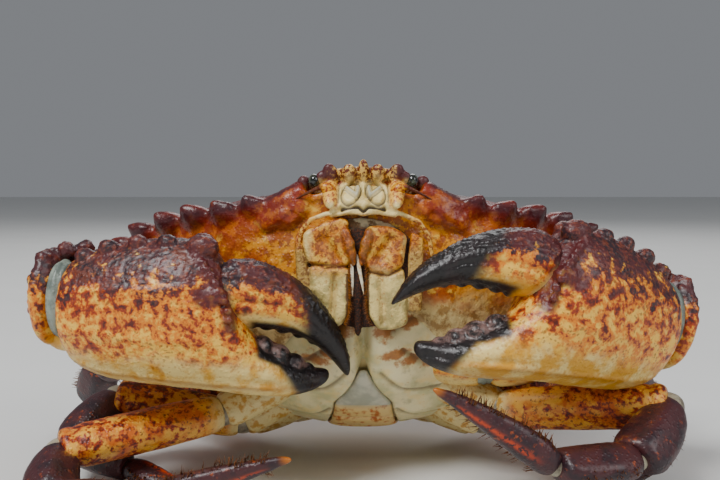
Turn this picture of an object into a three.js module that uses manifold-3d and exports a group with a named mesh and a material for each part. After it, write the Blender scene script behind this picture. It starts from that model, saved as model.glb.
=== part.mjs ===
// A Pacific rock crab, life size, reared back on its walking legs with the claws folded before its mouth.
// Millimetres, +Z up, floor at z = 0, origin on the floor under the middle of the shell. The crab faces -Y.
// Every limb joint is a place in this frame, and each plate is a sweep of oval sections from joint to joint.
import * as THREE from "three";
import { mergeVertices } from "three/addons/utils/BufferGeometryUtils.js";
import Module from "manifold-3d";

const wasm = await Module();
wasm.setup();

// Driving dimensions.
const SHELL_WIDTH = 148; // across the widest pair of marginal teeth
const PLAN_SHIFT = { x: -0.69, y: -4.44 }; // puts the origin under the middle of the whole outline
const BODY_TILT = 38.5; // degrees that the front of the shell is raised
const BODY_HEIGHT = 50; // from the floor to the middle of the shell's edge
const JOINT_GAP = 0.3; // air between neighbouring plates

// The shell, in its own level frame: origin in the middle of its edge, front towards -Y.
const SHELL = {
  halfWidth: 0.474 * SHELL_WIDTH, // at the notches between the marginal teeth
  frontReach: 0.29 * SHELL_WIDTH,
  rearReach: 0.333 * SHELL_WIDTH,
  rearEdge: 0.289 * SHELL_WIDTH, // the hind edge is nearly straight there
  centreY: 0.021 * SHELL_WIDTH, // the widest line, behind the middle
  browReach: 0.0235 * SHELL_WIDTH, // that the brow stands out before the sweep of the edge
  edgeDip: 0.029 * SHELL_WIDTH, // of the edge between the brow and the flanks
  domeHeight: 0.1 * SHELL_WIDTH,
  bellyDepth: 0.27 * SHELL_WIDTH,
  edgeHalf: 0.012 * SHELL_WIDTH,
  frontPower: 1.8,
  rearPower: 1.5,
};
const STERNUM = { halfWidth: 24, halfLength: 34, centreY: 6, top: -14, power: 2.6 };
const MARGIN_TOOTH = { length: 5.2, halfWidth: 4.1, halfHeight: 2.9, sunk: 3.5 };
// Degrees round from the front of each marginal tooth, and its size against the others.
const MARGIN_TEETH = [
  [24, 1.3], [35, 0.94], [44, 0.98], [52.6, 1], [60.8, 0.98],
  [68.8, 0.96], [76.4, 0.94], [83.6, 0.94], [91, 1], [99, 0.6],
];
const FRONT_TEETH = [
  [0, 1], [3.4, 0.95], [7.6, 1.05],
]; // how far from the midline, and its size
const EYE = { x: 11.6, y: -43.7, z: -1.8, radius: 1.9, socket: 2.9 };

const rad = THREE.MathUtils.degToRad;
const lerp = THREE.MathUtils.lerp;
const smooth = THREE.MathUtils.smoothstep;
const point = (x, y, z) => new THREE.Vector3(x, y, z);

// Closed forms, each a solid that can be joined to others or cut by them.

function solidFrom(positions, triangles) {
  return new wasm.Manifold(
    new wasm.Mesh({
      numProp: 3,
      vertProperties: new Float32Array(positions.flatMap((p) => [p.x, p.y, p.z])),
      triVerts: new Uint32Array(triangles),
    }),
  );
}

function solidFromGeometry(geometry) {
  geometry.deleteAttribute("normal");
  geometry.deleteAttribute("uv");
  const merged = mergeVertices(geometry, 1e-4);
  return new wasm.Manifold(
    new wasm.Mesh({
      numProp: 3,
      vertProperties: merged.attributes.position.array,
      triVerts: new Uint32Array(merged.index.array),
    }),
  );
}

// Rings of equal count joined one to the next, with a fan over each end.
function loft(rings) {
  const sides = rings[0].length;
  const positions = rings.flat();
  const triangles = [];
  for (let r = 0; r + 1 < rings.length; r++) {
    for (let s = 0; s < sides; s++) {
      const a = r * sides + s;
      const b = r * sides + ((s + 1) % sides);
      triangles.push(a, b, b + sides, a, b + sides, a + sides);
    }
  }
  for (const [ring, first, flip] of [
    [rings[0], 0, true],
    [rings.at(-1), (rings.length - 1) * sides, false],
  ]) {
    const centre = ring.reduce((sum, p) => sum.add(p), point(0, 0, 0)).divideScalar(sides);
    positions.push(centre);
    for (let s = 0; s < sides; s++) {
      const a = first + s;
      const b = first + ((s + 1) % sides);
      triangles.push(...(flip ? [positions.length - 1, b, a] : [positions.length - 1, a, b]));
    }
  }
  const made = solidFrom(positions, triangles);
  return made.volume() < 0 ? solidFrom(positions, triangles.reverse()) : made;
}

// A superellipse ring round `centre`; power 2 is an ellipse, more is squarer.
function ovalRing(centre, wide, high, halfWidth, halfHeight, sides, power = 2) {
  return Array.from({ length: sides }, (_, s) => {
    const turn = (2 * Math.PI * (s + 0.5)) / sides;
    const [c, n] = [Math.cos(turn), Math.sin(turn)];
    const w = Math.sign(c) * Math.abs(c) ** (2 / power) * halfWidth;
    const h = Math.sign(n) * Math.abs(n) ** (2 / power) * halfHeight;
    return centre.clone().addScaledVector(wide, w).addScaledVector(high, h);
  });
}

// Oval sections along a path, each station { at, halfHeight, halfWidth }; a smaller ring closes each end.
// `grow` makes the form larger all round, for cutting a neighbour clear of it.
// `axis` makes every section face that way, where the path turns quicker than the form is thick.
function sweep(stations, { axis, sides = 10, power = 2.2, grow = 0, round = 0.55 } = {}) {
  const up = point(0, 0, 1);
  const count = stations.length;
  const along = stations.map((_, i) => {
    const [before, after] = [stations[Math.max(i - 1, 0)].at, stations[Math.min(i + 1, count - 1)].at];
    return axis ?? after.clone().sub(before).normalize();
  });
  const ringAt = (i, scale, shift) => {
    const wide = along[i].clone().cross(up).normalize();
    const high = wide.clone().cross(along[i]);
    const { at, halfWidth, halfHeight } = stations[i];
    const centre = at.clone().addScaledVector(along[i], shift);
    const [w, h] = [(halfWidth + grow) * scale, (halfHeight + grow) * scale];
    return ovalRing(centre, wide, high, w, h, sides, power);
  };
  const cap = (i, sign) => {
    const { halfHeight, halfWidth } = stations[i];
    return ringAt(i, 0.6, sign * (round * Math.min(halfHeight, halfWidth) + grow));
  };
  const middle = stations.map((_, i) => ringAt(i, 1, 0));
  return loft([cap(0, -1), ...middle, cap(count - 1, 1)]);
}

function ball(centre, halfX, halfY, halfZ, detail = 8) {
  const geometry = new THREE.SphereGeometry(1, detail + 2, detail);
  geometry.scale(halfX, halfY, halfZ).translate(centre.x, centre.y, centre.z);
  return solidFromGeometry(geometry);
}

const join = (solids) => wasm.Manifold.union(solids);

const largest = (solid) =>
  solid.decompose().reduce((best, piece) => (piece.volume() > best.volume() ? piece : best));

// Pieces are settled one after another: each is cut clear of the grown forms of those before it.

const crab = new THREE.Group();
const settled = [];
const boxesMeet = (a, b) =>
  [0, 1, 2].every((k) => a.min[k] < b.max[k] && b.min[k] < a.max[k]);

function settle(name, make, material, { frame, parent = crab }) {
  const toCrab = frame.elements;
  let solid = make(0).transform(toCrab);
  for (const other of settled) {
    if (boxesMeet(solid.boundingBox(), other.boundingBox())) solid = solid.subtract(other);
  }
  solid = largest(solid);
  settled.push(make(JOINT_GAP).transform(toCrab));
  const own = solid.transform(frame.clone().invert().elements).getMesh();
  const geometry = new THREE.BufferGeometry();
  geometry.setAttribute("position", new THREE.BufferAttribute(new Float32Array(own.vertProperties), 3));
  geometry.setIndex(new THREE.BufferAttribute(new Uint32Array(own.triVerts), 1));
  geometry.computeVertexNormals();
  const mesh = new THREE.Mesh(geometry, material);
  mesh.name = name;
  frame.decompose(mesh.position, mesh.quaternion, mesh.scale);
  parent.add(mesh);
}

const finish = (color, roughness) => new THREE.MeshStandardMaterial({ color, roughness, metalness: 0 });
const MATERIALS = {
  shell: finish(0x6b2318, 0.45),
  claw: finish(0xb5692b, 0.42),
  finger: finish(0x1d1412, 0.35),
  leg: finish(0xa0522a, 0.45),
  belly: finish(0xd9cfa6, 0.5),
  mouth: finish(0xcf9a52, 0.55),
  eye: finish(0x14181a, 0.12),
  feeler: finish(0x9a5a34, 0.5),
};

// The shell's edge, dome and belly.

const bodyFrame = new THREE.Matrix4()
  .makeTranslation(0, 0, BODY_HEIGHT)
  .multiply(new THREE.Matrix4().makeRotationX(-rad(BODY_TILT)));

// How far the edge lies from the shell's centre at `turn` radians round from the front.
function edgeReach(turn) {
  const [across, ahead] = [Math.abs(Math.sin(turn)), Math.cos(turn)];
  const power = ahead > 0 ? SHELL.frontPower : SHELL.rearPower;
  const reach = ahead > 0 ? SHELL.frontReach : SHELL.rearReach;
  const oval = ((across / SHELL.halfWidth) ** power + (Math.abs(ahead) / reach) ** power) ** (-1 / power);
  return ahead < 0 ? (oval ** -8 + (Math.abs(ahead) / SHELL.rearEdge) ** 8) ** (-1 / 8) : oval;
}

// How far the brow stands out beyond that.
function browReach(turn) {
  const lip = SHELL.browReach * (1 - smooth(Math.abs(Math.sin(turn)), 0.25, 0.42));
  return Math.cos(turn) > 0 ? lip : 0;
}

// How far the edge dips below its own plane there.
function edgeDip(turn) {
  const fromFront = THREE.MathUtils.radToDeg(Math.acos(Math.cos(turn)));
  return SHELL.edgeDip * Math.exp(-(((fromFront - 38) / 20) ** 2));
}

// Low swellings over the gut, gills and heart: x, y, reach and height of each.
const REGIONS = [
  [0, -14, 13, 2.2], [29, 6, 17, 2.4], [-29, 6, 17, 2.4], [0, 21, 9, 1.8],
  [27, -24, 9, 1.5], [-27, -24, 9, 1.5], [11, -33, 6, 1], [-11, -33, 6, 1],
];

function domeZ(x, y, share) {
  const swell = REGIONS.reduce(
    (sum, [cx, cy, reach, height]) => sum + height * Math.exp(-((x - cx) ** 2 + (y - cy) ** 2) / reach ** 2),
    0,
  );
  const rise = (1 - share ** 2.4) ** 0.8;
  return SHELL.edgeHalf + (SHELL.domeHeight - SHELL.edgeHalf) * rise + swell * (1 - share ** 6);
}

function bellyZ(x, y, share, turn) {
  const flank = smooth(1 - Math.cos(turn), 0.03, 0.6);
  const fall = (1 - share ** 2.5) ** lerp(0.9, 1.18, flank);
  return -SHELL.edgeHalf - (SHELL.bellyDepth - SHELL.edgeHalf) * fall;
}

function bodySolid(grow = 0) {
  const around = 54;
  const shares = [1, 0.94, 0.84, 0.72, 0.58, 0.42, 0.22];
  const ringFor = (share, surface) =>
    Array.from({ length: around }, (_, i) => {
      const turn = (2 * Math.PI * i) / around;
      const reach = edgeReach(turn) * share + browReach(turn) * share ** 5;
      const x = Math.sin(turn) * (reach + grow);
      const y = SHELL.centreY - Math.cos(turn) * (reach + grow);
      return point(x, y, surface(x, y, share, turn) - edgeDip(turn) * share ** 3);
    });
  const top = shares.map((s) => ringFor(s, (...at) => domeZ(...at) + grow));
  const under = shares.map((s) => ringFor(s, (...at) => bellyZ(...at) - grow));
  return loft([...under.reverse(), ...top]);
}

// An upright column round the breastplate, which splits the body into shell and sternum.
function sternumColumn(grow = 0) {
  const ringAt = (z) =>
    ovalRing(
      point(0, STERNUM.centreY, z),
      point(1, 0, 0),
      point(0, 1, 0),
      STERNUM.halfWidth + grow,
      STERNUM.halfLength + grow,
      48,
      STERNUM.power,
    );
  return loft([ringAt(-SHELL_WIDTH), ringAt(STERNUM.top + grow)]);
}

// A lobe that points along `aim` from its root at `root`, full at its base and drawn to a short tip.
function tooth(root, aim, length, halfWidth, halfHeight, sunk, sides = 7) {
  const wide = aim.clone().cross(point(0, 0, 1)).normalize();
  const high = wide.clone().cross(aim);
  const rows = [[-sunk, 1], [0, 1], [length * 0.55, 0.8], [length * 0.95, 0.3]];
  const ringAt = ([d, share]) => {
    const centre = root.clone().addScaledVector(aim, d);
    return ovalRing(centre, wide, high, halfWidth * share, halfHeight * share, sides);
  };
  return loft(rows.map(ringAt));
}

function shellTeeth() {
  const made = [];
  for (const side of [-1, 1]) {
    for (const [degrees, size] of MARGIN_TEETH) {
      const turn = rad(degrees);
      const reach = edgeReach(turn) + browReach(turn) - 0.4;
      const [x, y] = [side * Math.sin(turn) * reach, SHELL.centreY - Math.cos(turn) * reach];
      const root = point(x, y, -edgeDip(turn));
      const aimTurn = turn * 0.86;
      const aim = point(side * Math.sin(aimTurn), -Math.cos(aimTurn), 0.12).normalize();
      const { length, halfWidth, halfHeight, sunk } = MARGIN_TOOTH;
      made.push(tooth(root, aim, length * size, halfWidth * size, halfHeight * Math.sqrt(size), sunk));
    }
    for (const [x, size] of FRONT_TEETH.filter(([x]) => x > 0 || side > 0)) {
      const root = point(side * x, SHELL.centreY - SHELL.frontReach - SHELL.browReach, 0);
      const aim = point(side * x * 0.02, -1, 0.15).normalize();
      made.push(tooth(root, aim, 3.4 * size, 1.75 * size, 1.7, 3, 6));
    }
    const brow = point(side * 14.8, SHELL.centreY - SHELL.frontReach - 0.2, -1);
    made.push(tooth(brow, point(side * 0.15, -1, 0.2).normalize(), 3, 1.9, 1.9, 3, 6));
  }
  return made;
}

const eyeSocket = (side) => ball(point(side * EYE.x, EYE.y, EYE.z), EYE.socket, EYE.socket, EYE.socket, 8);

// The tail flap, folded flat under the body: half widths from its tip to its hinge.
const FLAP = [
  [-12.6, 0.7], [-10, 1.9], [-6, 4.2], [-1, 6.8], [0.5, 7.2], [6, 7.6],
  [13, 8.6], [20, 10], [27, 11.6], [34, 12.6], [40, 12.4], [44, 10],
];
const FLAP_THICKNESS = 3;

function flapSolid(grow = 0) {
  const ringAt = ([y, halfWidth], i) => {
    const ahead = SHELL.centreY - y;
    const reach = edgeReach(ahead > 0 ? 0 : Math.PI);
    const outer = bellyZ(0, y, Math.abs(ahead) / reach, ahead > 0 ? 0 : Math.PI);
    const ridge = i % 2 ? 0.35 : 0;
    return ovalRing(
      point(0, y, outer + FLAP_THICKNESS / 2 - 0.9 - ridge),
      point(1, 0, 0),
      point(0, 0, 1),
      halfWidth + grow,
      FLAP_THICKNESS / 2 + grow,
      12,
      3,
    );
  };
  return loft(FLAP.map(ringAt));
}

const carapaceSolid = (grow) =>
  join([bodySolid(grow), ...(grow ? [] : shellTeeth())])
    .subtract(sternumColumn(grow ? 0 : JOINT_GAP))
    .subtract(join([eyeSocket(-1), eyeSocket(1)]));

settle("abdomen", flapSolid, MATERIALS.belly, { frame: bodyFrame });

// Mouth: two outer mouthparts, each a long lower plate, a squarish upper plate, a palp and an outer strip.

const MOUTH = { top: point(0, -41.6, -9.4), bottom: point(0, -25.6, -33.2), plateThickness: 3.6 };
// Outlines in the plane of the plates: distance out to the side and height above the lower end.
const DOORS = {
  right: {
    lower: [[5.4, 1.5], [7.8, 1.2], [12.1, 9], [12.8, 16.4], [3.4, 16.4], [3.2, 5]],
    upper: [[3.3, 15.3], [12.9, 15.4], [14.5, 22], [9.6, 26.3], [5.2, 27.2], [3.4, 23]],
    strip: [[11.2, 4.2], [14.6, 4.6], [16.2, 20], [15.2, 24.6], [13.6, 18], [12.2, 10]],
    palp: [[4, 22.6], [3.2, 19.6], [2.6, 17]],
  },
  left: {
    lower: [[1, 3.6], [3.6, 0.7], [10.6, 1.4], [10.2, 16], [0.5, 15.4], [0.5, 8]],
    upper: [[-0.4, 16.2], [5.8, 13.4], [9.4, 14.8], [10.3, 23.2], [4.6, 25.3], [0.2, 24.8]],
    strip: [[10.7, 5], [13.9, 4.9], [14.2, 20], [12.6, 23.6], [10.9, 18], [10.7, 11]],
    palp: [[1.2, 22.6], [0.4, 19.6], [-0.1, 17]],
  },
};

function bevelledPlate(corners, thickness, bevel, place) {
  const shape = new THREE.Shape(corners.map(([x, y]) => new THREE.Vector2(x, y)));
  const geometry = new THREE.ExtrudeGeometry(shape, {
    depth: thickness - bevel,
    bevelThickness: bevel,
    bevelSize: bevel,
    bevelOffset: -bevel,
    bevelSegments: 1,
    steps: 1,
  });
  return solidFromGeometry(geometry.applyMatrix4(place));
}

function mouthpart(name, side, grow = 0) {
  const door = DOORS[name];
  const run = MOUTH.top.clone().sub(MOUTH.bottom);
  const upward = run.normalize();
  const outward = point(1, 0, 0).cross(upward).normalize();
  const place = new THREE.Matrix4()
    .makeBasis(point(1, 0, 0), upward, outward)
    .setPosition(MOUTH.bottom.clone().addScaledVector(outward, -MOUTH.plateThickness / 2 - grow));
  const mirror = (corners) => {
    const middle = (k) => corners.reduce((sum, corner) => sum + corner[k] / corners.length, 0);
    return corners.map(([x, y]) => [
      side * (x + grow * Math.sign(x - middle(0))),
      y + grow * Math.sign(y - middle(1)),
    ]);
  };
  const thickness = MOUTH.plateThickness + 2 * grow;
  const palpSize = [[3.4, 1.5, 1.3], [3.9, 1.3, 1.2], [3, 0.9, 0.9]];
  const palp = sweep(
    door.palp.map(([x, y], k) => {
      const [z, halfWidth, halfHeight] = palpSize[k];
      return { at: point(side * x, y, z), halfWidth, halfHeight };
    }),
    { sides: 8, power: 2, grow },
  ).transform(place.elements);
  return join([
    bevelledPlate(mirror(door.lower), thickness, 1, place),
    bevelledPlate(mirror(door.upper), thickness + 0.5, 1.2, place),
    bevelledPlate(mirror(door.strip), thickness - 0.8, 0.7, place),
    bevelledPlate(mirror([[8.6, 4], [12.8, 5], [13, 8], [8.8, 8]]), thickness - 2.2, 0.4, place),
    palp,
  ]);
}

// A round form through rows of x, y, z and radius, mirrored for the right side.
function roundSweep(rows, side, sides, round) {
  const stations = rows.map(([x, y, z, radius]) => ({
    at: point(side * x, y, z),
    halfHeight: radius,
    halfWidth: radius,
  }));
  return (grow) => sweep(stations, { sides, power: 2, grow, round });
}

for (const [name, side] of [["right", -1], ["left", 1]]) {
  settle("maxilliped_" + name, (grow) => mouthpart(name, side, grow), MATERIALS.mouth, { frame: bodyFrame });
  const eye = [
    [EYE.x - 1.4, EYE.y + 5, EYE.z - 0.8, 1.3],
    [EYE.x - 0.6, EYE.y + 1.6, EYE.z, 1.4],
    [EYE.x, EYE.y - 0.2, EYE.z + 0.3, EYE.radius],
    [EYE.x, EYE.y - 1.8, EYE.z + 0.5, 0.82 * EYE.radius],
  ];
  settle("eye_" + name, roundSweep(eye, side, 10, 0.8), MATERIALS.eye, { frame: bodyFrame });
  const feeler = [
    [7.9, -42.6, -6, 1.9], [8, -44.2, -5.4, 1.75], [8.6, -45.2, -5, 1.35],
    [10.8, -44.9, -4.8, 0.6], [14.2, -43.2, -5.3, 0.4], [17, -41.4, -5.8, 0.28],
  ];
  settle("antenna_" + name, roundSweep(feeler, side, 7, 0.6), MATERIALS.feeler, { frame: bodyFrame });
}

// A shallow trough along the middle of the breastplate, from the mouth to the tip of the tail flap.
const trough = sweep(
  [
    { at: point(0, -27, -31), halfWidth: 0.9, halfHeight: 2 },
    { at: point(0, -18, -37.4), halfWidth: 1.1, halfHeight: 2 },
    { at: point(0, -11, -40.4), halfWidth: 1.1, halfHeight: 2 },
  ],
  { sides: 6, power: 2 },
);
const sternumSolid = (grow) => bodySolid(grow).intersect(sternumColumn(grow));
settle("sternum", (grow) => (grow ? sternumSolid(grow) : sternumSolid(0).subtract(trough)), MATERIALS.belly, {
  frame: bodyFrame,
});
settle("carapace", carapaceSolid, MATERIALS.shell, { frame: bodyFrame });

// Limb plates. A profile lists, from the near joint to the far one, the share of the length,
// half the height and half the width, both as shares of the limb's stoutness, and the bow of its middle.

const PROFILES = {
  coxa: [
    [0, 0.9, 0.85, 0], [0.35, 0.98, 0.9, 0], [0.7, 0.9, 0.84, 0],
    [1, 0.9, 0.8, 0],
  ],
  merus: [
    [0, 0.72, 0.62, 0], [0.12, 0.86, 0.72, 0], [0.4, 1, 0.76, 0.05],
    [0.75, 1, 0.76, 0.05], [0.93, 0.92, 0.74, 0], [1, 0.78, 0.66, 0],
  ],
  carpus: [
    [0, 0.6, 0.5, 0], [0.2, 0.78, 0.62, 0.06], [0.55, 0.9, 0.7, 0.12],
    [0.85, 0.92, 0.72, 0.04], [1, 0.72, 0.6, 0],
  ],
  propodus: [
    [0, 0.66, 0.5, 0], [0.15, 0.86, 0.62, 0.03], [0.5, 0.88, 0.62, 0.03],
    [0.85, 0.76, 0.56, 0], [1, 0.56, 0.46, 0],
  ],
  dactyl: [
    [0, 0.46, 0.38, 0], [0.12, 0.56, 0.46, 0.03], [0.45, 0.46, 0.38, 0.08],
    [0.78, 0.26, 0.24, 0.05], [0.95, 0.13, 0.13, -0.02],
  ],
};

// A frame at `from` whose X runs to `to` and whose Z leans to `up`.
function segmentFrame(from, to, up) {
  const x = to.clone().sub(from).normalize();
  const y = up.clone().cross(x).normalize();
  const z = x.clone().cross(y);
  return new THREE.Matrix4().makeBasis(x, y, z).setPosition(from);
}

function segmentSolid(profile, length, stout, grow, sides = 8) {
  const stations = profile.map(([share, high, wide, bow]) => ({
    at: point(share * length, 0, bow * stout),
    halfHeight: high * stout,
    halfWidth: wide * stout,
  }));
  return sweep(stations, { sides, power: 2.4, grow, round: 0.6 });
}

// The floor cuts each foot's tip to a small flat.
function aboveFloor(solid, frame) {
  const slab = new THREE.BoxGeometry(4 * SHELL_WIDTH, 4 * SHELL_WIDTH, SHELL_WIDTH);
  slab.translate(0, 0, -SHELL_WIDTH / 2);
  return solid
    .transform(frame.elements)
    .subtract(solidFromGeometry(slab))
    .transform(frame.clone().invert().elements);
}

const SEGMENTS = ["coxa", "merus", "carpus", "propodus", "dactyl"];

// Walking legs, front pair to hind pair: the joints of the left leg, from hip to tip, and how stout it is.
// The front pair is folded up before the body. The others stand on the floor, which cuts their tips flat.
const LEGS = {
  leg1: {
    stout: 6.9,
    left: [
      [17, -20.6, 26.4], [34.1, -27, 18.5], [72.6, -41.7, 22.8],
      [60.5, -55.3, 13.6], [41.3, -63.2, 14.6], [14.6, -68.2, 32.7],
    ],
    right: [
      [17, -20.6, 26.4], [35.7, -27, 17.5], [71.4, -44.4, 12.6],
      [69.5, -56.9, 5.4], [46.7, -64.7, 7.4], [15.3, -67.1, 17.5],
    ],
  },
  leg2: {
    stout: 6.7,
    left: [
      [18, -12.5, 19.8], [32, -15.5, 12.5], [67, -16.5, 20],
      [75, -28, 9.5], [60, -41, 5.6], [36, -53, 0],
    ],
    right: [
      [18, -12.5, 19.8], [32, -15.5, 12.5], [65, -16, 19],
      [73, -28, 9], [58, -33, 5.4], [34, -46, 0],
    ],
  },
  leg3: {
    stout: 6.4,
    left: [
      [17.5, -3.2, 14.6], [31, -4, 9.6], [65, 9, 27],
      [79, 18, 19.5], [87, 28, 8], [82, 41, 0],
    ],
    right: [
      [17.5, -3.2, 14.6], [31, -4, 9.6], [64, 10, 27],
      [78, 20, 19.5], [85.5, 31, 8], [80, 44, 0],
    ],
  },
  leg4: {
    stout: 5.7,
    left: [
      [13, 6, 12], [25, 12, 8.4], [48, 35, 23],
      [58, 49, 17], [62, 64, 7.5], [55, 78, 0],
    ],
    right: [
      [13, 6, 12], [25, 12, 8.4], [49, 34, 23],
      [60, 47.5, 17], [65, 62, 7.5], [59, 76.5, 0],
    ],
  },
};

for (const [leg, { stout, ...sides }] of Object.entries(LEGS)) {
  for (const [name, side] of [["right", -1], ["left", 1]]) {
    const joints = sides[name].map(([x, y, z]) => point(side * x, y, z));
    const limb = new THREE.Group();
    crab.add(limb);
    SEGMENTS.forEach((segment, i) => {
      const [from, to] = [joints[i], joints[i + 1]];
      const frame = segmentFrame(from, to, kneeSide(joints));
      const size = stout * (segment === "coxa" ? 0.8 : 1);
      const length = from.distanceTo(to);
      const make = (grow) => aboveFloor(segmentSolid(PROFILES[segment], length, size, grow), frame);
      settle(leg + "_" + name + "_" + segment, make, MATERIALS.leg, { frame, parent: limb });
    });
  }
}

// The side to which a leg's knee stands out from the line between hip and tip.
function kneeSide(joints) {
  const reach = joints.at(-1).clone().sub(joints[0]).normalize();
  const knee = joints[2].clone().sub(joints[0]);
  return knee.addScaledVector(reach, -knee.dot(reach)).normalize();
}

// Claws. The hand runs along X from the wrist, with Z towards the moving finger and its outer face to -Y.

const HAND = [
  // distance from the wrist, height of the middle, half height, half width
  [0, -0.4, 8, 6.2], [2.2, -1, 10.8, 8], [7, -1.6, 13.6, 9.4], [14, -1.2, 15.8, 10.4],
  [23, -0.5, 16.9, 11], [32, -0.3, 17.3, 10.8], [38, -0.8, 16.8, 9.8], [41.5, -3.8, 14.1, 8.6],
  [44.5, -9.4, 9, 7.2], [48, -12.4, 6.3, 6], [52, -14.4, 4.8, 5.2], [56.5, -15.7, 3.8, 4.3],
  [60.5, -16.2, 3, 3.3], [64, -15.8, 2, 2.2], [66, -15.2, 1.1, 1.2],
];
const FINGER = [
  // distance from the wrist, height of the middle, half height, half width
  [38, 5, 4.6, 3.7], [42.3, 5, 7.2, 5.6], [47.5, 4.2, 7.9, 6.2], [54, 1.7, 7.3, 5.8],
  [60, -2.4, 6.5, 5.2], [64.6, -7.8, 5.7, 4.6], [67.8, -13.8, 4.4, 3.6], [68.8, -16.2, 2.6, 2.3],
];
const HAND_KNOBS = [[48, -7.4, 2], [52, -10, 2.2], [56.2, -12, 2.1], [60, -13.4, 1.6]]; // x, z, radius
const FINGER_KNOBS = [[50.4, -3.2, 1.6], [54.6, -4, 1.6]];
const HINGE = { x: 39.5, z: 5.6 };
const BEND_START = 36;
const BEND_SPAN = 16;

// Bends the hand's far part in towards the mouth, beyond BEND_START.
function bendIn(solid, degrees) {
  const full = rad(degrees);
  return solid.warp((v) => {
    const past = v[0] - BEND_START;
    if (past <= 0) return;
    const turn = full * Math.min(past / BEND_SPAN, 1);
    const radius = BEND_SPAN / full;
    const beyond = Math.max(past - BEND_SPAN, 0);
    const [sine, cosine] = [Math.sin(turn), Math.cos(turn)];
    const y = v[1];
    v[0] = BEND_START + (radius - y) * sine + beyond * cosine;
    v[1] = radius - (radius - y) * cosine + beyond * sine;
  });
}

function fromStations(rows, grow, sides) {
  const stations = rows.map(([x, z, halfHeight, halfWidth]) => ({
    at: point(x, 0, z),
    halfHeight,
    halfWidth,
  }));
  return sweep(stations, { axis: point(1, 0, 0), sides, power: 2.15, grow, round: 0.7 });
}

const knobs = (rows, grow) =>
  rows.map(([x, z, radius]) => ball(point(x, 0, z), radius * 1.1 + grow, radius + grow, radius + grow, 6));

function handSolid(bend, grow) {
  return bendIn(join([fromStations(HAND, grow, 14), ...knobs(HAND_KNOBS, grow)]), bend);
}

// The moving finger, opened by `gape` degrees about its hinge; `reach` is its share of the full length.
function fingerSolid({ gape, bend, reach }, grow) {
  const made = join([fromStations(FINGER, grow, 12), ...knobs(FINGER_KNOBS, grow)]);
  const opened = made
    .translate([-HINGE.x, 0, -HINGE.z])
    .scale([reach, 1, 1])
    .rotate([0, -gape, 0])
    .translate([HINGE.x, 0, HINGE.z]);
  return bendIn(opened, bend);
}

const CLAWS = {
  left: {
    joints: [[18, -26, 32], [30, -29, 31], [62, -21, 38], [73, -33.5, 40.6]],
    handAim: point(-0.8, -0.54, 0.225),
    handUp: point(0.12, 0.06, 1),
    gape: 21,
    bend: 33, // of the fingers towards the mouth
    reach: 0.89,
    size: 1.03,
  },
  right: {
    joints: [[-18, -26, 32], [-30, -29, 31], [-61, -25, 43], [-71.5, -41.5, 47.2]],
    handAim: point(0.975, -0.22, -0.035),
    handUp: point(0, -0.05, 1),
    gape: 5,
    bend: 35,
    reach: 1,
    size: 1,
  },
};
const ARM_STOUT = 9.2;

for (const [name, claw] of Object.entries(CLAWS)) {
  const { joints, handAim, handUp, size: handSize } = claw;
  const side = name === "left" ? 1 : -1;
  const [hip, elbowStart, elbow, wrist] = joints.map(([x, y, z]) => point(x, y, z));
  const limb = new THREE.Group();
  crab.add(limb);
  const wristFrame = segmentFrame(wrist, wrist.clone().add(handAim), handUp);
  // The left hand is the right one mirrored, so that both outer faces look forward.
  const placed = (solid) => (side > 0 ? solid.mirror([0, 1, 0]) : solid).scale(handSize);
  const plates = [
    ["ischium", hip, elbowStart, "coxa", 0.78],
    ["merus", elbowStart, elbow, "merus", 1],
    ["carpus", elbow, wrist, "carpus", 1.4],
  ];
  for (const [segment, from, to, profile, size] of plates) {
    const frame = segmentFrame(from, to, point(0, 0, 1));
    const make = (grow) => segmentSolid(PROFILES[profile], from.distanceTo(to), ARM_STOUT * size, grow, 12);
    settle("claw_" + name + "_" + segment, make, MATERIALS.claw, { frame, parent: limb });
  }
  const options = { frame: wristFrame, parent: limb };
  const makeHand = (grow) => placed(handSolid(claw.bend, grow));
  const makeFinger = (grow) => placed(fingerSolid(claw, grow));
  settle("claw_" + name + "_hand", makeHand, MATERIALS.claw, options);
  settle("claw_" + name + "_finger", makeFinger, MATERIALS.finger, options);
}

crab.position.set(PLAN_SHIFT.x, PLAN_SHIFT.y, 0);

export default crab;
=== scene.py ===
import math

import bpy
import numpy as np
from mathutils import Matrix, Vector
from mathutils.kdtree import KDTree


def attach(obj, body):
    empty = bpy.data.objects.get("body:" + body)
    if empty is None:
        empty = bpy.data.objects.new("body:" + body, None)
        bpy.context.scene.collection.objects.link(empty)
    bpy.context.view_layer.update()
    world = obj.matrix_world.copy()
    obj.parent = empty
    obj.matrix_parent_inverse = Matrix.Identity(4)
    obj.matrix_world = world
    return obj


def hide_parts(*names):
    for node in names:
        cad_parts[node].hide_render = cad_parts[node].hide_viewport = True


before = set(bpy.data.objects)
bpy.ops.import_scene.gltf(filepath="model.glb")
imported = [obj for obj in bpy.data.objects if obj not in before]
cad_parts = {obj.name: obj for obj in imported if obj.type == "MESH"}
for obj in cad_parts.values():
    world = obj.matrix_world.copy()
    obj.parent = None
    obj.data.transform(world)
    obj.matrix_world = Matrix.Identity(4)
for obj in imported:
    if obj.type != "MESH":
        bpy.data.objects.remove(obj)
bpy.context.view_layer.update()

# Camera
# A plain still camera, as high as the crab's brow and a little over a quarter of a metre before it.
# It looks down by 3.5 degrees.
# The lens has 47.5 mm of reach on a 36 mm film.
mm = 0.001
plan_shift = Vector((-0.69, -4.44, 0))
camera_pitch = 3.5
bpy.ops.object.camera_add(
    location=(Vector((-0.8, -263.9, 75.6)) + plan_shift) * mm,
    rotation=(math.radians(90 - camera_pitch), 0, 0),
)
camera = bpy.context.object
camera.name = "camera"
camera.data.lens = 47.5
camera.data.sensor_width = 36
camera.data.clip_start = 0.01
bpy.context.scene.camera = camera


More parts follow.
